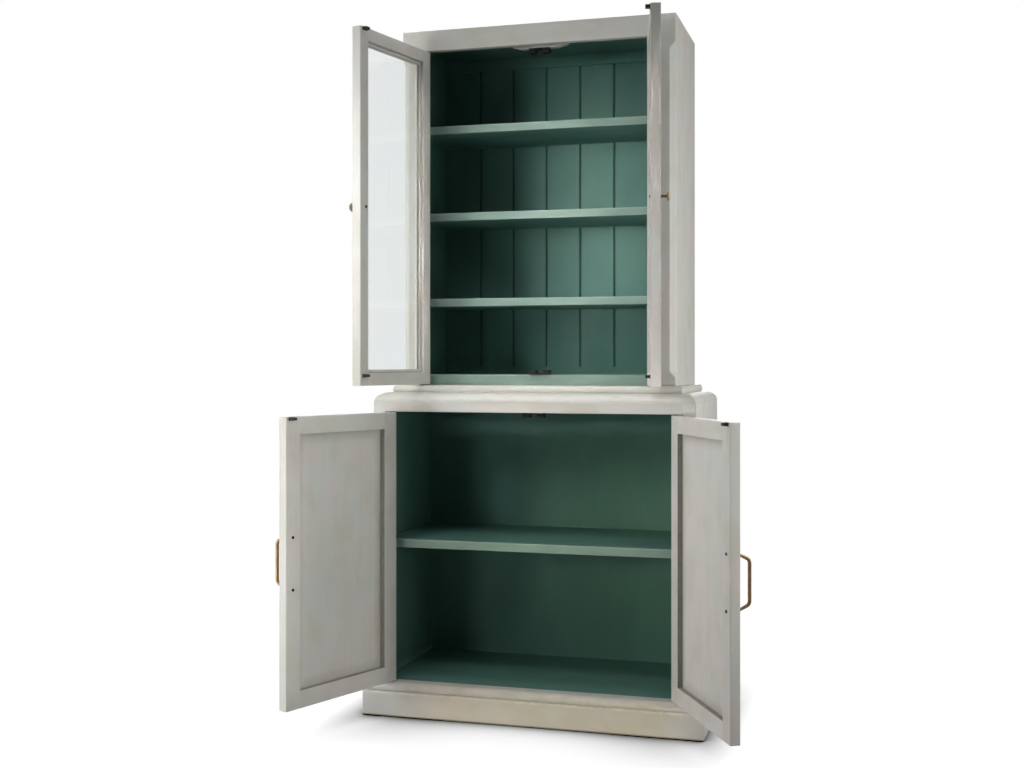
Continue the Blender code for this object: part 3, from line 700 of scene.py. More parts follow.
def bar(outline: Outline, run: Run, wear: Wear = Wear.RUBBED) -> Shell:
    """Carry an eased outline along an eased run: point = outline + inset * inward, short of any fold."""
    inset = np.minimum(run.inset, FOLD_MARGIN * outline.most_inset())
    rings = outline.points + inset[:, None, None] * outline.inward
    rim = np.maximum(outline.rim, run.wear[:, None])
    shell = carried(rings, run.along, rim, outline.nook)
    # Shaded edges turn their wear into nook: painted shade with glaze.
    if wear is Wear.GLAZED:
        return replace(shell, rim=shell.rim * 0, nook=np.maximum(shell.nook, shell.rim))
    return shell if wear is Wear.RUBBED else replace(shell, rim=shell.rim * 0)


def axes_along(grain: Grain) -> Array:
    """Rows that carry (along, across, through) onto X, Y and Z, in cyclic order."""
    return np.roll(np.eye(3), -grain.value, axis=0)


def oblong(width: Span, height: Span) -> list[Span]:
    """Corners of a rectangle, counter-clockwise."""
    return [(width[0], height[0]), (width[1], height[0]), (width[1], height[1]), (width[0], height[1])]


def sorted_corners(corners: Sequence[Span]) -> list[Span]:
    """Put a polygon's corners in counter-clockwise order, by the sign of its area."""
    corner = np.array(corners, float)
    after = np.roll(corner, -1, axis=0)
    area = np.sum(corner[:, 0] * after[:, 1] - corner[:, 1] * after[:, 0])
    return list(corners) if area > 0 else list(corners)[::-1]


def board(low: Sequence[float], high: Sequence[float], grain: Grain, easing: Easing = Easing(),
          wear: Wear = Wear.RUBBED) -> Shell:
    """A rectangular board between two corners, with every edge eased.

    Args:
        low: lowest corner.
        high: highest corner.
        grain: axis of its length.
        easing: radius and reach of its edges.
        wear: look of its edges.

    Returns:
        The board's surface.
    """
    order = [(grain.value + step) % 3 for step in range(3)]
    spans = [(float(low[axis]), float(high[axis])) for axis in order]
    thin = min(span[1] - span[0] for span in spans[1:]) / 2
    outline = eased_outline(oblong(spans[1], spans[2]), easing)
    shell = bar(outline, Run.eased(*spans[0], easing, thin), wear)
    return shell.laid(grain)


def lathe(profile: Sequence[Ring], sides: int) -> Shell:
    """Turn a profile about the first axis.

    A profile point of radius r at height h becomes the ring (h, r cos a, r sin a), a from 0 to a full
    turn; the first and last rings are closed.

    Args:
        profile: height, radius, rim and nook of each ring.
        sides: points in a ring.

    Returns:
        The turned surface.
    """
    table = np.array(profile, float)
    angle = np.arange(sides) * 2 * math.pi / sides
    rings = table[:, 1, None, None] * np.stack((np.cos(angle), np.sin(angle)), axis=1)
    return carried(rings, table[:, 0], table[:, 2, None], table[:, 3, None])


def rounded_step(height: Span, radius: Span, steps: int, rim: float = 0.0) -> list[Ring]:
    """Quarter-ellipse of profile points: radius falls with the cosine as height rises with the sine."""
    swing = np.linspace(0, math.pi / 2, steps)
    heights = height[0] + (height[1] - height[0]) * np.sin(swing)
    radii = radius[1] + (radius[0] - radius[1]) * np.cos(swing)
    return [(high, wide, rim, 0.0) for high, wide in zip(heights, radii)]


@dataclass(frozen=True)
class Bow:
    """A bow of round bar: two leaning legs, rounded shoulders and a straight grip.

    Attributes:
        spacing: distance between the feet.
        grip: distance between the shoulders' corners.
        foot: height of the feet.
        crown: height of the grip's centre line.
        radius: the grip's radius.
        shoulder: radius of the shoulders.
        stations: rings along the bar.
        sides: points in a ring.
        samples: points of the running sums.
        foot_share: share of the radius at the feet.
        polish: wear along the grip.
        polish_from: share of the height at which it starts.
    """

    spacing: float
    grip: float
    foot: float
    crown: float
    radius: float
    shoulder: float
    stations: int = 96
    sides: int = 24
    samples: int = 4001
    foot_share: float = 0.75
    polish: float = 0.1
    polish_from: float = 0.7

    def shell(self) -> Shell:
        """Make the bow's surface, feet along the third axis and height along the first.

        The heading f of the centre line starts at the leg's lean, turns evenly to a quarter turn over
        the first shoulder and on to the mirrored lean over the second; height and place along the feet
        are the running sums of cos f and sin f. Each ring is a circle in the plane across the line, and
        its radius grows from a share of its full size at the feet.

        Returns:
            The surface.
        """
        rise = self.crown - self.foot
        lean_by = (self.spacing - self.grip) / 2
        lean = math.atan2(lean_by, rise)
        turn = math.pi / 2 - lean
        cut = self.shoulder * math.tan(turn / 2)
        leg = math.hypot(rise, lean_by) - cut
        arc = self.shoulder * turn
        flat = self.grip - 2 * cut
        knots = np.cumsum((0.0, leg, arc, flat, arc, leg))
        fine = np.linspace(0, knots[-1], self.samples)
        headings = (lean, lean, math.pi / 2, math.pi / 2, math.pi - lean, math.pi - lean)
        heading = np.interp((fine[1:] + fine[:-1]) / 2, knots, headings)
        line = np.stack((np.cos(heading), np.sin(heading)), axis=1) * fine[1]
        line = np.vstack(((0.0, 0.0), np.cumsum(line, axis=0))) + (self.foot, -self.spacing / 2)
        even = np.linspace(0, knots[-1], self.stations)
        centre = np.stack([np.interp(even, fine, line[:, axis]) for axis in (0, 1)], axis=1)
        facing = np.interp(even, knots, headings)
        across = np.stack((-np.sin(facing), np.cos(facing)), axis=1)
        lift = (centre[:, 0] - self.foot) / rise
        angle = np.arange(self.sides) * 2 * math.pi / self.sides
        ring = np.stack((np.cos(angle), np.sin(angle)), axis=1)
        ring = self.radius * (self.foot_share + (1 - self.foot_share) * lift)[:, None, None] * ring
        plane = centre[:, None] + ring[..., 1, None] * across[:, None]
        points = np.stack((plane[..., 0], ring[..., 0], plane[..., 1]), axis=2).reshape(-1, 3)
        quads, caps = ring_faces(self.stations, self.sides)
        grain = np.stack((np.repeat(even, self.sides), points[:, 0], points[:, 1]), axis=1)
        polish_and_highlight = np.clip((lift - self.polish_from) / (1 - self.polish_from), 0, 1)
        rim = self.polish * np.repeat(polish_and_highlight, self.sides)
        return Shell(points, quads, caps, grain, rim, rim * 0, np.zeros(len(quads) + 2, int))


class Workshop:
    """Holds the finishes, and puts every finished piece on its body."""

    seed: ClassVar[int] = 20
    scatter: ClassVar[float] = 20.0
    sharp_angle: ClassVar[float] = 40.0

    def __init__(self, nodes: dict[str, bpy.types.Object]) -> None:
        """Mix the finishes.

        Args:
            nodes: the frame's solids by name.
        """
        self.nodes = nodes
        self.finishes = {finish.name: finish.make() for finish in (
            LimedPaint(), GreenPaint(), ClearGlass(), AgedBrass(), PinSteel(), BlackPlastic())}
        self.block_finishes = {
            Coat.LIMED: LimedPaint("limed_paint_block", Coords.OBJECT).make(),
            Coat.GREEN: GreenPaint("green_paint_block", Coords.OBJECT).make()}
        self.draws = np.random.default_rng(self.seed)

    def place(self, node: str, shell: Shell, *coats: Coat, body: str = CASE) -> None:
        """Make a piece that stands for one solid of the frame.

        Args:
            node: the solid's name.
            shell: the piece's surface.
            coats: its coats, by the tones of its faces.
            body: the body that it rides on.
        """
        name = f"{node}_dressed"
        mesh = bpy.data.meshes.new(name)
        faces = shell.quads.tolist() + [cap.tolist() for cap in shell.caps]
        mesh.from_pydata(shell.points.tolist(), [], faces)
        grain = shell.grain + self.draws.uniform(-self.scatter, self.scatter, 3)
        spot = mesh.attributes.new("grain", "FLOAT_VECTOR", "POINT")
        spot.data.foreach_set("vector", grain.astype(np.float32).ravel())
        for label, values in (("rim", shell.rim), ("nook", shell.nook)):
            attribute = mesh.attributes.new(label, "FLOAT", "POINT")
            attribute.data.foreach_set("value", values.astype(np.float32))
        for coat in coats:
            mesh.materials.append(self.finishes[coat.value])
        mesh.polygons.foreach_set("material_index", shell.tones.astype(np.int32))
        mesh.shade_smooth()
        mesh.set_sharp_from_angle(angle=math.radians(self.sharp_angle))
        mesh.update()
        piece = put_in_scene(name, mesh)
        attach(piece, body)
        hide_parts(node)
        LOG.info("%s: %d faces on %s", name, len(faces), body)

    def place_board(self, node: str, grain: Grain, *coats: Coat, easing: Easing = Easing(),
                    wear: Wear = Wear.RUBBED, inside: Point | None = None, front: float = 0.0) -> None:
        """Make a rectangular board of the size and place of its solid.

        Args:
            node: the solid's name.
            grain: axis of the board's length.
            coats: its coat, and then the coat of its inner face.
            easing: radius and reach of its edges.
            wear: look of its edges.
            inside: the way its inner face looks, if that has another coat.
            front: share of the paler edge colour on its whole front edge, for wear and painted highlight.
        """
        shell = board(*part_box(node), grain, easing, wear)
        if inside:
            shell = shell.painted(inside)
        if front:
            shell = shell.rubbed_front(front)
        self.place(node, shell, *coats)

    def dress(self, node: str, coat: Coat) -> None:
        """Finish a plain block of the frame, which keeps its own shape."""
        piece = self.nodes[node]
        piece.data.materials.clear()
        piece.data.materials.append(self.block_finishes[coat])
        LOG.info("%s: kept, in %s", node, coat.value)


@dataclass
class Plinth:
    """The moulded plinth: three mitred lengths, and the boards behind them."""

    half: float = 0.432
    front: float = -0.208
    back: float = 0.208
    height: float = 0.0875
    board_height: float = 0.064
    board_thickness: float = 0.020
    proud: float = 0.023
    arris: float = 0.0025
    cap_reach: float = 0.0135
    cap_from: float = -0.7
    front_lap: float = 0.0255
    side_lap: float = 0.018
    floor_thickness: float = 0.018
    round_steps: int = 22
    arris_steps: int = 6
    arris_reach: float = 0.007
    # Paler colour on the arris, beyond full wear: wear and a painted highlight along the lit edge.
    arris_wear_and_highlight: float = 1.6
    cap_wear: float = 0.8
    face_heights: tuple[float, ...] = (0.0, 0.003, 0.0045)
    # Painted shadow: a dark line along the bottom of the plinth's face, where it stands on the floor.
    foot_shadow: tuple[float, ...] = (0.0, 1.2, 1.0, 0.0, 0.0)
    # Painted shade on the ledge, in the crease under the cap.
    ledge_shade: float = 0.3
    ledge_turn: float = 0.15
    corner_reach: tuple[float, ...] = (0.0, 0.003, 0.016)
    corner_fade: tuple[float, ...] = (1.0, 0.3, 0.0)
    corner_wear: float = 0.8

    def section(self, lap: float) -> tuple[Array, Array, Array]:
        """Outline of a length: flat board, rounded arris, ledge, round cap.

        The arris and the cap are arcs, r cos t by r sin t. The cap starts on the ledge at its lower angle
        and ends level at the top, so its radius is its height over 1 less the sine of that angle.

        Args:
            lap: how far the cap reaches behind the base's face.

        Returns:
            Points as (distance in front of the base, height), their rim and their nook.
        """
        foot = self.proud - self.board_thickness
        under = self.height - self.floor_thickness
        quarter = np.linspace(0, math.pi / 2, self.arris_steps)
        arris = np.stack((self.proud - self.arris + self.arris * np.cos(quarter),
                          self.board_height - self.arris + self.arris * np.sin(quarter)), axis=1)
        radius = (self.height - self.board_height) / (1 - math.sin(self.cap_from))
        turn = np.linspace(self.cap_from, math.pi / 2, self.round_steps)
        cap = np.stack((self.cap_reach - radius + radius * np.cos(turn),
                        self.height - radius + radius * np.sin(turn)), axis=1)
        heights = (*self.face_heights, self.board_height - self.arris_reach)
        face = [(foot, 0.0)] + [(self.proud, height) for height in heights]
        rear = [(-lap, self.height), (-lap, under), (foot, under)]
        points = np.vstack((face, arris, cap, rear))
        rim = np.concatenate((np.zeros(len(face)), np.full(len(arris), self.arris_wear_and_highlight),
                              self.cap_wear * np.cos(turn) ** 2, np.zeros(len(rear))))
        # Painted shade on the cap's lowest points, in the crease where it meets the ledge.
        glazed = self.ledge_shade * (turn < self.cap_from + self.ledge_turn)
        nook = np.concatenate((self.foot_shadow, np.zeros(len(arris)), glazed, np.zeros(len(rear))))
        return points, rim, nook

    def length(self, lap: float, start: float, end: float, lean: Span) -> Shell:
        """Carry the section between two ends, each leaning for its mitre, with wear at mitred corners."""
        points, rim, nook = self.section(lap)
        reach = np.array(self.corner_reach)
        along = np.concatenate((start + reach, end - reach[::-1]))
        slant = np.repeat(lean, len(reach))
        fade = self.corner_wear * np.array(self.corner_fade)
        worn = np.concatenate((fade * abs(lean[0]), fade[::-1] * abs(lean[1])))
        outlines = np.broadcast_to(points, (len(along), *points.shape)).copy()
        return carried(outlines, along, np.maximum(rim, worn[:, None]), nook[None], slant)

    def build(self, shop: Workshop) -> None:
        """Make the three lengths and finish the hidden boards."""
        reach = self.half - FIT
        upright = np.array(((1, 0, 0), (0, -1, 0), (0, 0, 1)), float)
        front = self.length(self.front_lap, -reach, reach, (-1.0, 1.0))
        shop.place("plinth_front", front.turned(upright, np.array((0, self.front, 0))), Coat.LIMED)
        for name, side in (("left", -1), ("right", 1)):
            axes = np.array(((0, 1, 0), (side, 0, 0), (0, 0, 1)), float)
            length = self.length(self.side_lap, self.front + FIT, self.back, (-1.0, 0.0))
            shop.place(f"plinth_{name}", length.turned(axes, np.array((side * self.half, 0, 0))), Coat.LIMED)
        for node in ("plinth_back", "plinth_bearer"):
            shop.dress(node, Coat.LIMED)


@dataclass
class RoundedSlab:
    """A slab whose front and side edges are rounded; its back edge stays all but square."""

    node: str
    run: float
    from_angle: float
    steps: int = 18
    corner: Easing = SOFT
    back_share: float = 0.02
    under_inset: Span = (0.02, 0.001)
    top_inset: Span = (0.004, 0.03)
    corner_wear: float = 0.5
    crest_wear: float = 0.35
    crest_angle: float = 35.0
    crest_width: float = 0.5

    def build(self, shop: Workshop, under: Coat | None = None) -> None:
        """Make the slab.

        Ring t is the slab's outline, drawn in by run (1 - cos t) on three sides, and by a small share of
        that at the back, at the height that sin t gives, with t from the lower angle to a quarter turn.

        Args:
            shop: where the piece is finished.
            under: coat of the underside, if it differs.
        """
        low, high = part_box(self.node)
        plan = oblong((low[0], high[0]), (low[1], high[1]))
        outline = eased_outline(plan, self.corner, (1.0, 1.0, self.back_share, 1.0))
        swing = np.linspace(self.from_angle, math.pi / 2, self.steps)
        level = np.sin(swing)
        share = (level - level[0]) / (level[-1] - level[0])
        bend = self.run * (1 - np.cos(swing))
        inset = np.concatenate((bend[0] + np.array(self.under_inset), bend,
                                bend[-1] + np.array(self.top_inset)))
        along = np.concatenate(([low[2]] * 2, low[2] + (high[2] - low[2]) * share, [high[2]] * 2))
        from_crest = (swing - math.radians(self.crest_angle)) / self.crest_width
        crest = np.exp(-from_crest ** 2) * self.crest_wear
        wear = np.concatenate(([0.0, 0.0], crest, [0.0, 0.0]))
        rings = outline.points + inset[:, None, None] * outline.inward
        rim = np.maximum(outline.rim * self.corner_wear * (inset[:, None] < self.run), wear[:, None])
        shell = carried(rings, along, rim, 0 * rim).laid(Grain.UPRIGHT)
        shell.grain = shell.points.copy()
        if under:
            shop.place(self.node, shell.painted(DOWN), Coat.LIMED, under)
        else:
            shop.place(self.node, shell, Coat.LIMED)


@dataclass
class BaseCase:
    """The lower case: sides, stiles, rail, rounded top, floor, back and shelf."""

    round_run: float = 0.038

    def build(self, shop: Workshop) -> None:
        """Make the case's boards, green on the faces that look inwards."""
        lined = (Coat.LIMED, Coat.GREEN)
        plain = {"easing": CLOSED, "wear": Wear.CLEAN, "inside": REAR}
        hidden = {"easing": CRISP, "wear": Wear.CLEAN}
        for name, inwards in (("left", 1), ("right", -1)):
            shop.place_board(f"base_{name}_side", Grain.UPRIGHT, *lined, inside=(inwards, 0, 0))
            shop.place_board(f"base_{name}_stile", Grain.UPRIGHT, *lined, **plain)
        shop.place_board("base_top_rail", Grain.ACROSS, *lined, **plain)
        RoundedSlab("base_top", self.round_run, 0.0).build(shop, Coat.GREEN)
        shop.place_board("base_floor", Grain.ACROSS, Coat.GREEN, **hidden)
        shop.place_board("base_back", Grain.UPRIGHT, Coat.GREEN, **hidden)
        # The shelf's front edge takes the paler edge colour: wear, and painted highlight on its lit front.
        shop.place_board("base_shelf", Grain.ACROSS, Coat.GREEN, front=SHELF_WEAR_AND_LIGHT)
        shop.dress("base_catch_block", Coat.GREEN)


@dataclass
class HutchCase:
    """The upper case: foot board, chamfered stiles, frieze, sides, top, shelves and grooved back."""

    half: float = 0.372
    stile: float = 0.0455
    foot_radius: float = 0.0095
    foot_from: float = -0.75
    chamfer: float = 0.016
    chamfer_below_top: float = 0.070
    chamfer_above_foot: float = 0.018
    least_chamfer: float = 0.0013
    stop_ratio: float = 1.4
    stop_steps: int = 6
    stile_foot: Span = (0.002, 0.010)
    stile_head: Span = (0.02, 0.0012)
    end_inset: float = 0.0008
    pitch: float = 0.099
    groove_width: float = 0.007
    groove_depth: float = 0.004
    groove_low: float = 0.9255
    groove_high: float = 1.7987
    groove_stop: float = 0.0015
    groove_margin: Span = (0.004, 0.02)
    foot_steps: int = 24
    shelves: int = 3

    def chamfered_stile(self, node: str, side: int) -> Shell:
        """A stile whose outer front corner has a stopped chamfer.

        Its outline is a rectangle with that corner cut by a leg c(z). The leg is least at both ends,
        full between, and follows a half cosine over each stop.

        Args:
            node: the stile's solid.
            side: -1 left, 1 right.

        Returns:
            The stile's surface.
        """
        low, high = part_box(node)
        start = low[2] + self.chamfer_above_foot
        end = high[2] - self.chamfer_below_top
        stop = self.chamfer * self.stop_ratio
        ramp = np.linspace(0, 1, self.stop_steps)
        rise = self.least_chamfer + (self.chamfer - self.least_chamfer) * (1 - np.cos(math.pi * ramp)) / 2
        plain = np.full(3, self.least_chamfer)
        along = np.concatenate((low[2] + np.array((0.0, *self.stile_foot)), start + stop * ramp,
                                end - stop + stop * ramp, high[2] - np.array((*self.stile_head, 0.0))))
        leg = np.concatenate((plain, rise, rise[::-1], plain))
        inset = np.zeros(len(along))
        inset[[0, -1]] = self.end_inset
        out = side * self.half
        inner = side * (self.half - self.stile)
        plans = [[(inner, low[1]), (out - side * cut, low[1]), (out, low[1] + cut), (out, high[1]),
                  (inner, high[1])] for cut in leg]
        outlines = [eased_outline(sorted_corners(plan), CRISP) for plan in plans]
        rings = np.stack([outline.points + draw * outline.inward for outline, draw in zip(outlines, inset)])
        rim = np.maximum(outlines[0].rim, (inset > 0)[:, None])
        return carried(rings, along, rim, outlines[0].nook).laid(Grain.UPRIGHT)

    def grooved_back(self) -> Shell:
        """The matchboarded back: its outline across X is carried upwards.

        On the front face each joint is a V, depth d (1 - |x - c| / h), whose depth is multiplied by a
        stop that runs from 0 to 1 just above the bottom board.

        Returns:
            The back's surface.
        """
        low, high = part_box("hutch_back")
        half_width = self.groove_width / 2
        count = int(high[0] / self.pitch)
        centres = self.pitch * (np.arange(-count, count) + 0.5)
        share = np.array((-1.9, -1.25, -1.0, -0.5, 0.0, 0.5, 1.0, 1.25, 1.9))
        x = (centres[:, None] + share * half_width).ravel()
        fall = np.tile(np.maximum(1 - np.abs(share), 0) * self.groove_depth, len(centres))
        # Painted shade in each V groove, darkest at its bottom.
        glaze = np.tile(np.clip(1.15 - np.abs(share), 0, 1), len(centres))
        front = np.concatenate(([low[0]], x, [high[0]]))
        depth = np.concatenate(([0.0], fall, [0.0]))
        shade = np.concatenate(([0.0], glaze, [0.0], np.zeros(len(front))))
        before, after = self.groove_margin
        along = np.array((low[2], self.groove_low - before, self.groove_low,
                          self.groove_low + self.groove_stop, self.groove_low + after,
                          self.groove_high, self.groove_high + self.groove_stop, high[2]))
        open_share = np.array((0, 0, 0, 1, 1, 1, 0, 0), float)
        face = np.stack((np.broadcast_to(front, (len(along), len(front))),
                         low[1] + open_share[:, None] * depth), axis=2)
        shape = face.shape[:2]
        rear = np.stack((np.broadcast_to(front[::-1], shape), np.full(shape, high[1])), axis=2)
        rings = np.concatenate((face, rear), axis=1)
        shell = carried(rings, along, np.zeros(rings.shape[:2]), open_share[:, None] * shade)
        return shell.laid(Grain.UPRIGHT)

    def build(self, shop: Workshop) -> None:
        """Make the case's boards, green on the faces that look inwards."""
        lined = (Coat.LIMED, Coat.GREEN)
        RoundedSlab("hutch_foot", self.foot_radius, self.foot_from, self.foot_steps).build(shop)
        for name, side in (("left", -1), ("right", 1)):
            shop.place_board(f"hutch_{name}_side", Grain.UPRIGHT, *lined, easing=CLOSED,
                             inside=(-side, 0, 0))
            node = f"hutch_{name}_stile"
            shop.place(node, self.chamfered_stile(node, side).painted(REAR), *lined)
        shop.place_board("hutch_frieze", Grain.ACROSS, *lined, easing=CLOSED, wear=Wear.CLEAN, inside=REAR)
        shop.place_board("hutch_top", Grain.ACROSS, *lined, easing=CLOSED, inside=DOWN)
        for node in ("hutch_bottom", *(f"hutch_shelf_{number}" for number in range(1, self.shelves + 1))):
            # The shelves' front edges take the paler edge colour: wear, and painted highlight on their lit
            # fronts.
            shop.place_board(node, Grain.ACROSS, Coat.GREEN, front=SHELF_WEAR_AND_LIGHT)
        shop.place("hutch_back", self.grooved_back(), Coat.GREEN)
        shop.place_board("hutch_back_rail", Grain.ACROSS, Coat.GREEN, easing=CRISP, wear=Wear.CLEAN)
        shop.dress("hutch_catch_block", Coat.LIMED)


@dataclass
class Door:
    """What all four doors share.

    A door is drawn closed in its own frame (u, y, z): u runs from the pin axis to the free edge, y
    from the outer face inwards, and z is the height. It is then hung on its pins and swung open.
    """

    name: str
    side: int
    angle: float
    pivot: Span
    low: float
    high: float
    free: float
    stile: float
    rail: float
    hinge_edge: float = -0.0075
    outer: float = -0.0045
    inner: float = 0.0195
    strike_inset: float = 0.008
    strike_size: Point = (0.019, 0.012, 0.009)
    strike_lip: Span = (0.0020, 0.0026)
    strike_margin: Span = (0.0011, 0.0009)
    lower_strike_top: float = 0.9095
    stile_thin: float = 0.004
    pin_radius: float = 0.002
    pin_tip: float = 0.0006
    pin_reach: float = 0.012
    collar_radius: float = 0.004
    collar_ease: float = 0.0002
    door_gap: float = 0.0025
    head_radius: float = 0.004
    head_height: float = 0.0022
    head_foot: float = 0.96
    head_ease: float = 0.0002
    dome_from: float = 0.0006
    dome_flat: float = 0.0006
    # Painted shade and glaze on the recess walls inside the frame.
    wall_shade_and_glaze: float = 0.9
    edge_wear: float = 0.35

    @property
    def body(self) -> str:
        """Name of the body that the door's pieces ride on."""
        return f"{self.name}_door"

    @property
    def middle(self) -> float:
        """Height of the door's middle."""
        return (self.low + self.high) / 2

    def hung(self, shell: Shell) -> Shell:
        """Hang a surface on the pins and swing it: x = -side u, turned by the door's angle about Z."""
        turn = self.side * math.radians(self.angle)
        ahead = np.array((math.cos(turn), math.sin(turn), 0.0))
        deep = np.array((-math.sin(turn), math.cos(turn), 0.0))
        axes = np.stack((-self.side * ahead, deep, (0.0, 0.0, 1.0)))
        return shell.turned(axes, np.array((*self.pivot, 0.0)))

    def mount(self, shop: Workshop, label: str, shell: Shell, coat: Coat) -> None:
        """Hang a surface and make it a piece that rides on the door."""
        shop.place(f"{self.name}_{label}", self.hung(shell), coat, body=self.body)

    def notched(self, width: Span, notch: Span, depth: float, above: bool) -> list[Span]:
        """Section of a frame member with a groove or rebate in one edge.

        Args:
            width: the member's two edges.
            notch: where the groove lies between the outer and inner face.
            depth: how deep it is cut.
            above: whether it is in the second edge.

        Returns:
            Corners as (across the member, from the outer face inwards).
        """
        edge, bottom = (width[1], width[1] - depth) if above else (width[0], width[0] + depth)
        far = width[0] if above else width[1]
        corners = [(far, self.outer), (edge, self.outer), (edge, notch[0]), (bottom, notch[0])]
        corners.append((bottom, notch[1]))
        if notch[1] < self.inner:
            corners += [(edge, notch[1]), (edge, self.inner)]
        return sorted_corners(corners + [(far, self.inner)])

    def glazed_wall(self, outline: Outline, axis: int, edge: float, from_depth: float) -> Outline:
        """Paint shade and glaze onto the wall that runs from a member's inner face down to the panel.

        Args:
            outline: the member's section.
            axis: which of its axes runs across the member.
            edge: the member's edge on that axis.
            from_depth: where the wall starts, from the outer face inwards.

        Returns:
            The section with the painted shade and glaze added.
        """
        at_edge = np.abs(outline.points[:, axis] - edge) < HAIRLINE
        deep = outline.points[:, 1 - axis]
        wall = at_edge & (deep > from_depth - HAIRLINE) & (deep < self.inner - HAIRLINE)
        return replace(outline, rim=self.edge_wear * outline.rim,
                       nook=np.maximum(outline.nook, self.wall_shade_and_glaze * wall))

    def members(self, notch: Span, depth: float) -> Shell:
        """Two stiles, two rails and the rails' tongues, which fill the stiles' notches at the corners.

        Args:
            notch: where the groove or rebate lies in the thickness.
            depth: how deep it is cut.

        Returns:
            The frame's surfaces.
        """
        reach = (self.hinge_edge + self.stile, self.free - self.stile)
        shells = []
        thin = (self.inner - self.outer) / 2
        for width, above in (((self.hinge_edge, reach[0]), True), ((reach[1], self.free), False)):
            outline = eased_outline(self.notched(width, notch, depth, above), CRISP)
            outline = self.glazed_wall(outline, 0, width[1] if above else width[0], notch[1])
            stile = bar(outline, Run.eased(self.low, self.high, STILE_END, self.stile_thin))
            shells.append(stile.laid(Grain.UPRIGHT))
        heights = (self.low, self.low + self.rail), (self.high - self.rail, self.high)
        for height, above in zip(heights, (True, False)):
            section = [(deep, across) for across, deep in self.notched(height, notch, depth, above)]
            run = Run.eased(reach[0] + HAIRLINE, reach[1] - HAIRLINE, RAIL_END, thin)
            outline = eased_outline(sorted_corners(section), CRISP)
            outline = self.glazed_wall(outline, 1, height[1] if above else height[0], notch[1])
            shells.append(bar(outline, run))
            tongue = (height[0], height[1] - depth) if above else (height[0] + depth, height[1])
            back = notch[1] - (HAIRLINE if notch[1] < self.inner else 0.0)
            for end, way in ((reach[0], -1), (reach[1], 1)):
                span = sorted((end, end + way * (depth - HAIRLINE)))
                shells.append(board((span[0], notch[0] + HAIRLINE, tongue[0]), (span[1], back, tongue[1]),
                                    Grain.ACROSS, CRISP))
        return Shell.joined(shells)

    def window(self, margin: float) -> tuple[Span, Span]:
        """Limits in u and z of the frame's opening, widened by a margin."""
        across = (self.hinge_edge + self.stile - margin, self.free - self.stile + margin)
        return across, (self.low + self.rail - margin, self.high - self.rail + margin)

    def inner_head(self, across: float, height: float) -> Shell:
        """The dark domed head of a bolt, on the inner face."""
        dome = rounded_step((self.dome_from, self.head_height), (self.head_radius, self.dome_flat), 7)
        profile = [(FIT, self.head_radius * self.head_foot, 0, 1)]
        profile += [(FIT + self.head_ease, self.head_radius, 0, 1)]
        profile += [(high + FIT, wide, 0, 1) for high, wide, _, _ in dome]
        return lathe(profile, 28).turned(INTO_CASE, np.array((across, self.inner, height)))

    def strike(self, shop: Workshop, label: str) -> None:
        """A moulded strike: an eased block with a shallow lip against the door."""
        far = self.free - self.strike_inset
        high = self.lower_strike_top if label == "lower_strike" else self.high
        width, proud, tall = self.strike_size
        lip_from, lip_to = (self.inner + depth for depth in self.strike_lip)
        side, end = self.strike_margin
        lip = board((far - width, self.inner + FIT, high - tall), (far, lip_to, high),
                    Grain.ACROSS, STRIKE_LIP)
        block = board((far - width + side, lip_from, high - tall + end),
                      (far - side, self.inner + proud, high - end), Grain.ACROSS, STRIKE_BLOCK)
        self.mount(shop, label, Shell.joined((lip, block)), Coat.BLACK)

    def pins(self, shop: Workshop) -> None:
        """The two turned pins, which stay in the case: shank, collar, shank, with chamfered tips."""
        reach = self.door_gap / 2 + self.pin_reach
        collar = self.door_gap / 2 - FIT
        upper = [(collar - self.collar_ease, self.collar_radius, 0, 0),
                 (collar, self.collar_radius - self.collar_ease, 0, 0),
                 (collar, self.pin_radius, 0, 0), (reach - self.pin_tip, self.pin_radius, 0, 0),
                 (reach, self.pin_radius - self.pin_tip, 0, 0)]
        profile = [(-high, wide, 0, 0) for high, wide, _, _ in upper[::-1]] + upper
        for label, height in (("lower_pivot", self.low), ("upper_pivot", self.high)):
            centre = height + (self.door_gap / 2 if label == "upper_pivot" else -self.door_gap / 2)
            pin = lathe(profile, 32).turned(axes_along(Grain.UPRIGHT), np.array((*self.pivot, centre)))
            shop.place(f"{self.name}_{label}", pin, Coat.STEEL)


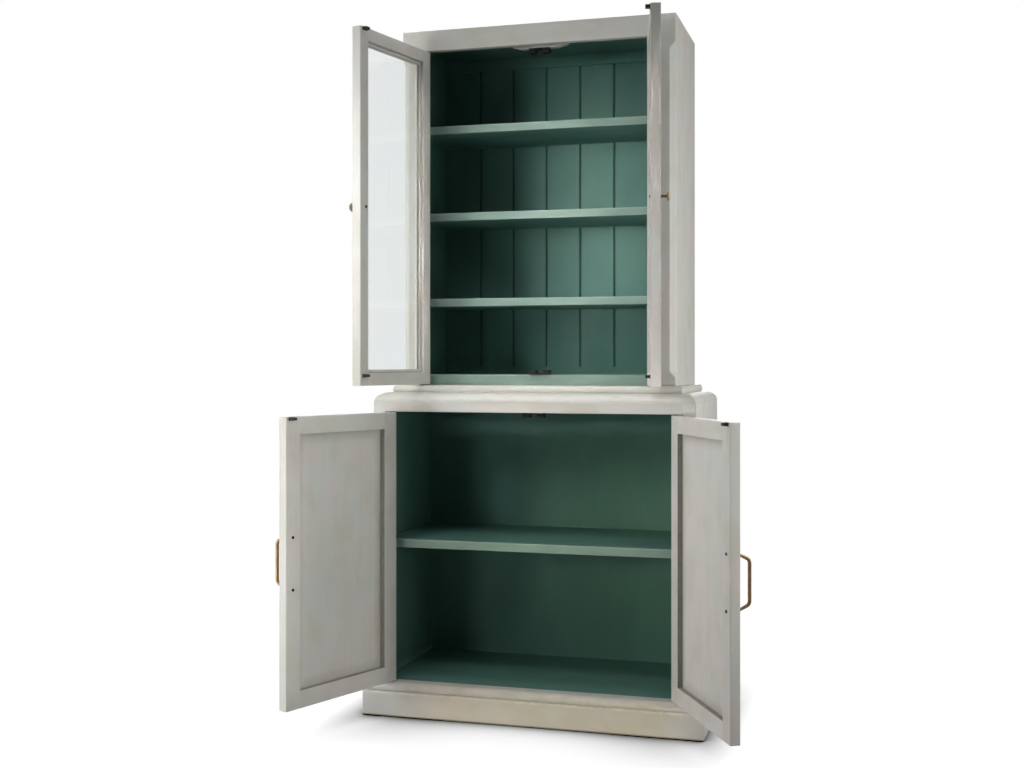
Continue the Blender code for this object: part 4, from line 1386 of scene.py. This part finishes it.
@dataclass
class GlazedDoor(Door):
    """An upper door: rebated frame, pane, mitred bead, turned knob and two strikes."""

    lip: float = 0.007
    rebate: float = 0.008
    glass: float = 0.003
    bead: float = 0.006
    knob_from_edge: float = 0.024
    knob_radius: float = 0.011
    knob_head: float = 0.008
    stem_radius: float = 0.0032
    stem: float = 0.012
    rose_radius: float = 0.0055
    rose_height: float = 0.0025
    rose_edge: float = 0.4
    stem_flare: float = 0.25
    stem_lap: float = 0.0006
    stem_glaze: float = 0.12
    disc_turn: Span = (155.0, 4.0)
    disc_power: float = 0.75
    disc_polish_and_highlight: float = 0.6
    rose_wear: float = 0.2
    bead_round: float = 0.2
    bead_flat: float = 0.7
    bead_wear: float = 0.15
    # Painted shade at the bead's square corners, in the gaps against the glass and the frame.
    bead_shade: tuple[float, ...] = (0.9, 0.3, 1.2, 0.0)

    def bead_lengths(self) -> Shell:
        """Four mitred lengths of square bead, its arris rounded towards the glass.

        The section has the distance p outside the sight line first; a length of half run s ends at
        s + p, so that neighbours meet on the mitre.

        Returns:
            The bead's surfaces.
        """
        seat = self.outer + self.lip + 2 * FIT + self.glass
        width = self.rebate - FIT
        quarter = np.linspace(math.pi / 2, math.pi, 6)
        radius = self.bead * self.bead_round
        crest = seat + self.bead
        curve = np.stack((radius + radius * np.cos(quarter),
                          crest - radius + radius * np.sin(quarter)), axis=1)
        square = [(0.0, seat), (width, seat), (width, crest), (width * self.bead_flat, crest)]
        section = np.vstack((square, curve))
        rim = np.concatenate((np.zeros(len(square)), np.full(len(curve), self.bead_wear)))
        nook = np.concatenate((self.bead_shade, np.zeros(len(curve))))
        across, tall = self.window(0.0)
        middle = {0: sum(across) / 2, 2: sum(tall) / 2}
        half = {0: (across[1] - across[0]) / 2, 2: (tall[1] - tall[0]) / 2}
        ways = np.array((-1.0, 1.0))
        shells = []
        for axis, other in ((0, 2), (2, 0)):
            outlines = np.broadcast_to(section, (2, *section.shape)).copy()
            length = carried(outlines, ways * (half[axis] - HAIRLINE), rim[None], nook[None], ways)
            for way in ways:
                axes = np.zeros((3, 3))
                axes[0, axis] = axes[2, 1] = 1
                axes[1, other] = way
                origin = np.zeros(3)
                origin[axis] = middle[axis]
                origin[other] = middle[other] + way * half[other]
                shells.append(length.turned(axes, origin))
        return Shell.joined(shells)

    def knob(self) -> Shell:
        """The turned knob: rounded rose, waisted stem, cushioned disc, and the bolt's head inside."""
        start = self.rose_height + self.stem
        tip = start + self.knob_head
        profile = [(FIT, self.rose_radius, self.rose_wear, 0)]
        profile += rounded_step((self.rose_height * self.rose_edge, self.rose_height),
                                (self.rose_radius, self.stem_radius * (1 + self.stem_flare)), 6)
        waist = np.linspace(0, 1, 12)[1:]
        heights = self.rose_height + waist * (self.stem + self.stem_lap)
        radii = self.stem_radius * (1 + self.stem_flare * (2 * waist - 1) ** 2)
        profile += [(high, wide, 0.0, self.stem_glaze) for high, wide in zip(heights, radii)]
        swing = np.linspace(*(math.radians(turn) for turn in self.disc_turn), 22)
        middle, half = (start + tip) / 2, (tip - start) / 2
        wide = self.knob_radius * np.sin(swing) ** self.disc_power
        # Pale rim colour round the disc: polish, and a painted highlight.
        profile += list(zip(middle + half * np.cos(swing), wide, self.disc_polish_and_highlight * np.sin(swing), 0 * swing))
        across = self.free - self.knob_from_edge
        outside = lathe(profile, 40).turned(OUT_OF_DOOR, np.array((across, self.outer, self.middle)))
        return Shell.joined((outside, self.inner_head(across, self.middle)))

    def build(self, shop: Workshop) -> None:
        """Make the door's pieces and hang them."""
        seat = self.outer + self.lip
        frame = self.members((seat, self.inner), self.rebate)
        self.mount(shop, "door_frame", frame, Coat.LIMED)
        across, tall = self.window(self.rebate - FIT)
        pane = board((across[0], seat + FIT, tall[0]), (across[1], seat + FIT + self.glass, tall[1]),
                     Grain.UPRIGHT, CRISP, Wear.CLEAN)
        self.mount(shop, "glass", pane, Coat.GLASS)
        self.mount(shop, "glazing_bead", self.bead_lengths(), Coat.LIMED)
        self.mount(shop, "knob", self.knob(), Coat.BRASS)
        self.strike(shop, "upper_strike")
        self.strike(shop, "lower_strike")
        self.pins(shop)


@dataclass
class PanelDoor(Door):
    """A lower door: grooved frame, flat panel, bow handle and one strike."""

    lip: float = 0.004
    panel: float = 0.006
    groove: float = 0.007
    spacing: float = 0.128
    grip: float = 0.100
    shoulder: float = 0.012
    projection: float = 0.035
    bar_radius: float = 0.0042
    rose_radius: float = 0.0065
    rose_height: float = 0.003
    rose_edge: float = 0.35
    rose_top: float = 0.8
    rose_wear: Span = (0.3, 0.2)
    handle_from_edge: float = 0.022

    def handle(self) -> Shell:
        """The bow, its two rounded roses and the heads of its bolts inside."""
        across = self.free - self.handle_from_edge
        outwards = np.array(((0, -1, 0), (1, 0, 0), (0, 0, 1)), float)
        crown = self.projection - self.bar_radius
        bow = Bow(self.spacing, self.grip, self.rose_height / 2, crown, self.bar_radius, self.shoulder)
        shells = [bow.shell().turned(outwards, np.array((across, self.outer, self.middle)))]
        foot_wear, top_wear = self.rose_wear
        rose = [(FIT, self.rose_radius, foot_wear, 0)]
        rose += rounded_step((self.rose_height * self.rose_edge, self.rose_height),
                             (self.rose_radius, self.bar_radius * self.rose_top), 8, top_wear)
        for way in (-1, 1):
            height = self.middle + way * self.spacing / 2
            shells.append(lathe(rose, 32).turned(OUT_OF_DOOR, np.array((across, self.outer, height))))
            shells.append(self.inner_head(across, height))
        return Shell.joined(shells)

    def build(self, shop: Workshop) -> None:
        """Make the door's pieces and hang them."""
        seat = self.outer + self.lip
        frame = self.members((seat, seat + self.panel + 2 * FIT), self.groove)
        self.mount(shop, "door_frame", frame, Coat.LIMED)
        across, tall = self.window(self.groove - FIT)
        # The panel's edges darken with painted shade and glaze where they meet the frame.
        panel = board((across[0], seat + FIT, tall[0]), (across[1], seat + FIT + self.panel, tall[1]),
                      Grain.UPRIGHT, PANEL_EDGE, Wear.GLAZED)
        self.mount(shop, "panel", panel, Coat.LIMED)
        self.mount(shop, "handle", self.handle(), Coat.BRASS)
        self.strike(shop, "strike")
        self.pins(shop)


@dataclass
class Catches:
    """The double catches: a plate with two heads, hung under a block or stood on a board."""

    plate: float = 0.003
    near: float = 0.00925
    easing: Easing = Easing(0.0009, 3, 0.001, 0.004)

    def build(self, shop: Workshop) -> None:
        """Make each catch from a plate and two heads, which meet the strikes."""
        for node, hangs in (("hutch_top_catch", True), ("hutch_bottom_catch", False), ("base_catch", True)):
            low, high = (np.array(corner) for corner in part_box(node))
            plate_low, plate_high, head_low, head_high = low.copy(), high.copy(), low.copy(), high.copy()
            if hangs:
                plate_low[2] = head_high[2] = high[2] - self.plate
            else:
                plate_high[2] = head_low[2] = low[2] + self.plate
            shells = [board(plate_low, plate_high, Grain.ACROSS, CRISP)]
            for way in (-1, 1):
                near, far = sorted((way * self.near, way * high[0]))
                shells.append(board((near, head_low[1], head_low[2]), (far, head_high[1], head_high[2]),
                                    Grain.DEEP, self.easing))
            shop.place(node, Shell.joined(shells), Coat.BLACK)


@dataclass(frozen=True)
class Softbox:
    """A soft studio lamp: where it stands, what it faces, its width and height, power, beam and tint."""

    name: str
    place: Point
    aim: Point
    size: Span
    power: float
    beam: float = 180.0
    open_beam: ClassVar[float] = 180.0
    tint: Colour = (1.0, 1.0, 1.0)

    def hang(self) -> None:
        """Put the lamp up, facing its aim and out of sight; only an open beam shows in reflections."""
        lamp = bpy.data.lights.new(self.name, "AREA")
        lamp.shape = "RECTANGLE"
        lamp.size, lamp.size_y = self.size
        lamp.energy = self.power
        lamp.color = self.tint
        lamp.spread = math.radians(self.beam)
        stand = put_in_scene(self.name, lamp)
        forward = np.array(self.aim) - np.array(self.place)
        stand.location = self.place
        flat = math.hypot(forward[0], forward[1])
        stand.rotation_euler = (math.atan2(flat, -forward[2]), 0.0, math.atan2(-forward[0], forward[1]))
        stand.visible_camera = False
        stand.visible_transmission = False
        stand.visible_glossy = self.beam == self.open_beam


@dataclass
class Studio:
    """White floor and surroundings, softboxes, and the camera of the photograph."""

    camera_place: Point = (0.8889, -3.4125, 0.9374)
    camera_turn: float = 15.9257
    focal_pixels: float = 1285.01
    principal: Span = (519.76, 362.74)
    picture: tuple[int, int] = (1024, 768)
    sensor: float = 36.0
    floor_half: float = 9.0
    floor_points: int = 13
    floor_drop: float = 0.0004
    floor_shown: float = 0.03
    floor_plain: float = 0.4
    stand: Point = (0.455, 0.231, 0.0)
    shadow_narrow: Point = (3.2, 1.0, 0.0)
    shadow_samples: int = 16
    shadow_end: float = 0.27
    shadow_depth: float = 1.7
    shadow_reach: float = 0.36
    reflected: float = 0.3
    middle: Point = (0.0, -0.25, 0.9)
    lamps: tuple[Softbox, ...] = (
        Softbox("right_high", (1.793, -0.357, 1.9), middle, (0.6, 0.7), 8.5),
        Softbox("right_side", (1.793, -0.34, 1.05), (0.3, -0.2, 0.95), (0.6, 0.6), 10.5),
        Softbox("left_low", (-1.474, -1.232, 0.45), middle, (0.6, 0.7), 13.8),
        Softbox("over", (0.0, -0.42, 3.0), (0.0, -0.2, 0.9), (1.0, 1.0), 9.0),
        Softbox("over_left", (-0.5, -0.5, 2.8), (-0.2, -0.2, 0.9), (0.6, 0.6), 5.6),
        Softbox("front_low", (-0.761, -1.831, 0.45), middle, (0.3, 0.7), 2.8, 170.0),
        Softbox("right_low", (1.793, -0.3, 0.6), (0.3, -0.2, 0.5), (0.5, 0.5), 0.8, 120.0),
        Softbox("right_front", (1.472, -1.05, 0.6), (-0.3, -0.3, 0.7), (0.4, 0.6), 0.9, 80.0),
        Softbox("key_high", (-0.901, -1.642, 1.6), (0.1, 0.1, 1.15), (0.15, 0.4), 1.25, 60.0),
        Softbox("key_left", (-1.093, -1.502, 1.8), (0.1, 0.1, 1.1), (0.2, 0.4), 0.45, 90.0),
        Softbox("shelf_front", (-0.2, -0.9, 1.75), (-0.1, -0.3, 0.8), (0.5, 0.3), 0.72, 80.0),
        Softbox("front_high", (-0.8, -1.2, 2.2), (-0.45, -0.2, 1.1), (0.4, 0.3), 0.53, 60.0),
        Softbox("upper_inside", (-0.75, -2.0, 1.3), (0.13, 0.1, 1.34), (0.15, 0.6), 0.34, 14.0),
        Softbox("lower_inside", (-1.1, -1.9, 0.8), (0.16, 0.1, 0.45), (0.2, 0.4), 0.16, 20.0,
                (1.0, 0.98, 0.66)),
        Softbox("upper_left", (1.0, -2.0, 1.3), (-0.355, -0.3, 1.36), (0.17, 0.95), 0.11, 4.0),
        Softbox("upper_left_hinge", (0.9, -2.0, 1.27), (-0.33, -0.2, 1.3), (0.06, 0.7), 0.17, 4.0),
        Softbox("upper_right", (-0.8, -2.0, 1.15), (0.38, -0.5, 1.27), (0.1, 0.8), 0.19, 7.0),
        Softbox("lower_left", (1.0, -2.0, 0.5), (-0.475, -0.4, 0.45), (0.34, 0.8), 0.20, 4.0),
        Softbox("lower_left_edge", (1.2, -1.7, 0.45), (-0.53, -0.55, 0.4), (0.1, 0.5), 0.03, 5.0),
        Softbox("lower_right", (-0.6, -2.1, 0.45), (0.49, -0.38, 0.45), (0.3, 0.8), 0.12, 4.0),
        Softbox("waist", (0.1, -2.2, 1.0), (0.05, -0.2, 0.85), (0.8, 0.05), 0.065, 5.0),
        Softbox("foot_fill", (0.13, -2.3, 0.3), (0.06, -0.23, 0.03), (0.7, 0.06), 0.075, 5.0,
                (1.0, 0.84, 0.56)),
        Softbox("behind", (0.0, 2.4, 1.2), (0.0, 0.2, 0.9), (0.5, 1.2), 30.0),
        Softbox("left_rear", (-1.9, -0.1, 1.25), (-0.37, -0.1, 1.25), (0.4, 0.9), 8.0, 120.0),
    )

    def seen(self, graph: Graph) -> Socket:
        """1 for rays that show the surroundings to the camera, straight or through glass."""
        path = graph.add("ShaderNodeLightPath").outputs
        return graph.maths("MAXIMUM", path["Is Camera Ray"], path["Is Transmission Ray"])

    def floor_paint(self) -> Material:
        """White floor that keeps the cabinet's shadow, deepest where the plinth stands on it."""
        graph = Graph.of_material("studio_floor")
        reach = {"Distance": self.shadow_reach}
        near = graph.add("ShaderNodeAmbientOcclusion", reach, samples=self.shadow_samples).outputs["AO"]
        shade = graph.spread(near, (0.0, 1.0), (self.shadow_depth, 0.0))
        away = graph.vector("SUBTRACT", graph.vector("ABSOLUTE", graph.place(Coords.OBJECT)), self.stand)
        away = graph.vector("MULTIPLY", graph.vector("MAXIMUM", away), self.shadow_narrow)
        span = graph.add("ShaderNodeVectorMath", {0: away}, operation="LENGTH").outputs["Value"]
        shade = graph.maths("MULTIPLY", shade, graph.spread(span, (0.0, self.shadow_end), (1.0, 0.0)))
        glow = graph.maths("SUBTRACT", 1.0, shade)
        light = graph.add("ShaderNodeEmission", {"Strength": glow}).outputs[0]
        matt, plain = (graph.add("ShaderNodeBsdfDiffuse", {"Color": (grey, grey, grey, 1.0)}).outputs[0]
                       for grey in (self.floor_shown, self.floor_plain))
        shown = graph.add("ShaderNodeAddShader", {0: light, 1: matt}).outputs[0]
        mixed = graph.add("ShaderNodeMixShader", {0: self.seen(graph), 1: plain, 2: shown}).outputs[0]
        return graph.output(mixed)

    def lay_floor(self) -> None:
        """A flat square floor: x and y over a grid, z just under the plinth."""
        count = self.floor_points
        side = np.linspace(-self.floor_half, self.floor_half, count)
        grid = np.stack(np.meshgrid(side, side, indexing="ij"), axis=2).reshape(-1, 2)
        points = np.column_stack((grid, np.full(len(grid), -self.floor_drop)))
        number = np.arange(len(points)).reshape(count, count)
        quads = np.stack((number[:-1, :-1], number[1:, :-1], number[1:, 1:], number[:-1, 1:]), axis=2)
        mesh = bpy.data.meshes.new("studio_floor")
        mesh.from_pydata(points.tolist(), [], quads.reshape(-1, 4).tolist())
        mesh.materials.append(self.floor_paint())
        floor = put_in_scene("studio_floor", mesh)

    def surround(self) -> None:
        """White surroundings for what is seen, dimmer in reflections, and no light of their own."""
        world = bpy.data.worlds.new("studio")
        bpy.context.scene.world = world
        graph = Graph(world)
        glossy = graph.add("ShaderNodeLightPath").outputs["Is Glossy Ray"]
        dim = graph.maths("MULTIPLY", glossy, self.reflected)
        low, white = (graph.add("ShaderNodeBackground", {"Color": WHITE, "Strength": strength}).outputs[0]
                      for strength in (dim, 1.0))
        mixed = graph.add("ShaderNodeMixShader", {0: self.seen(graph), 1: low, 2: white}).outputs[0]
        graph.add("ShaderNodeOutputWorld", {"Surface": mixed})

    def stand_camera(self) -> None:
        """Stand the camera where the photograph was taken from."""
        lens = bpy.data.cameras.new("photograph")
        lens.sensor_fit = "HORIZONTAL"
        lens.sensor_width = self.sensor
        width, height = self.picture
        lens.lens = self.focal_pixels * self.sensor / width
        lens.shift_x = (width / 2 - self.principal[0]) / width
        lens.shift_y = (self.principal[1] - height / 2) / width
        camera = put_in_scene("photograph", lens)
        camera.location = self.camera_place
        camera.rotation_euler = (math.pi / 2, 0.0, math.radians(self.camera_turn))
        bpy.context.scene.camera = camera

    def build(self) -> None:
        """Set up camera, floor, surroundings and lamps."""
        self.stand_camera()
        self.lay_floor()
        self.surround()
        for lamp in self.lamps:
            lamp.hang()
        bpy.context.scene.view_settings.view_transform = "Standard"


def main() -> None:
    """Load the frame, build every sub-assembly in order, and log each one."""
    logging.basicConfig(level=logging.INFO, format="%(name)s: %(message)s")
    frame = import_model()
    Studio().build()
    shop = Workshop(frame["nodes"])
    upper = {"low": 0.880, "high": 1.775, "free": 0.31555, "stile": 0.042, "rail": 0.040}
    lower = {"low": 0.090, "high": 0.805, "free": 0.38905, "stile": 0.046, "rail": 0.043}
    assemblies = (
        Plinth(), BaseCase(), HutchCase(), Catches(),
        GlazedDoor("upper_left", -1, 102.5, (-0.3168, -0.1435), **upper),
        GlazedDoor("upper_right", 1, 101.7, (0.3168, -0.1435), **upper),
        PanelDoor("lower_left", -1, 110.7, (-0.3903, -0.2035), **lower),
        PanelDoor("lower_right", 1, 118.2, (0.3903, -0.2035), **lower),
    )
    for assembly in assemblies:
        LOG.info("building %s", type(assembly).__name__)
        assembly.build(shop)


if __name__ == "__main__":
    main()
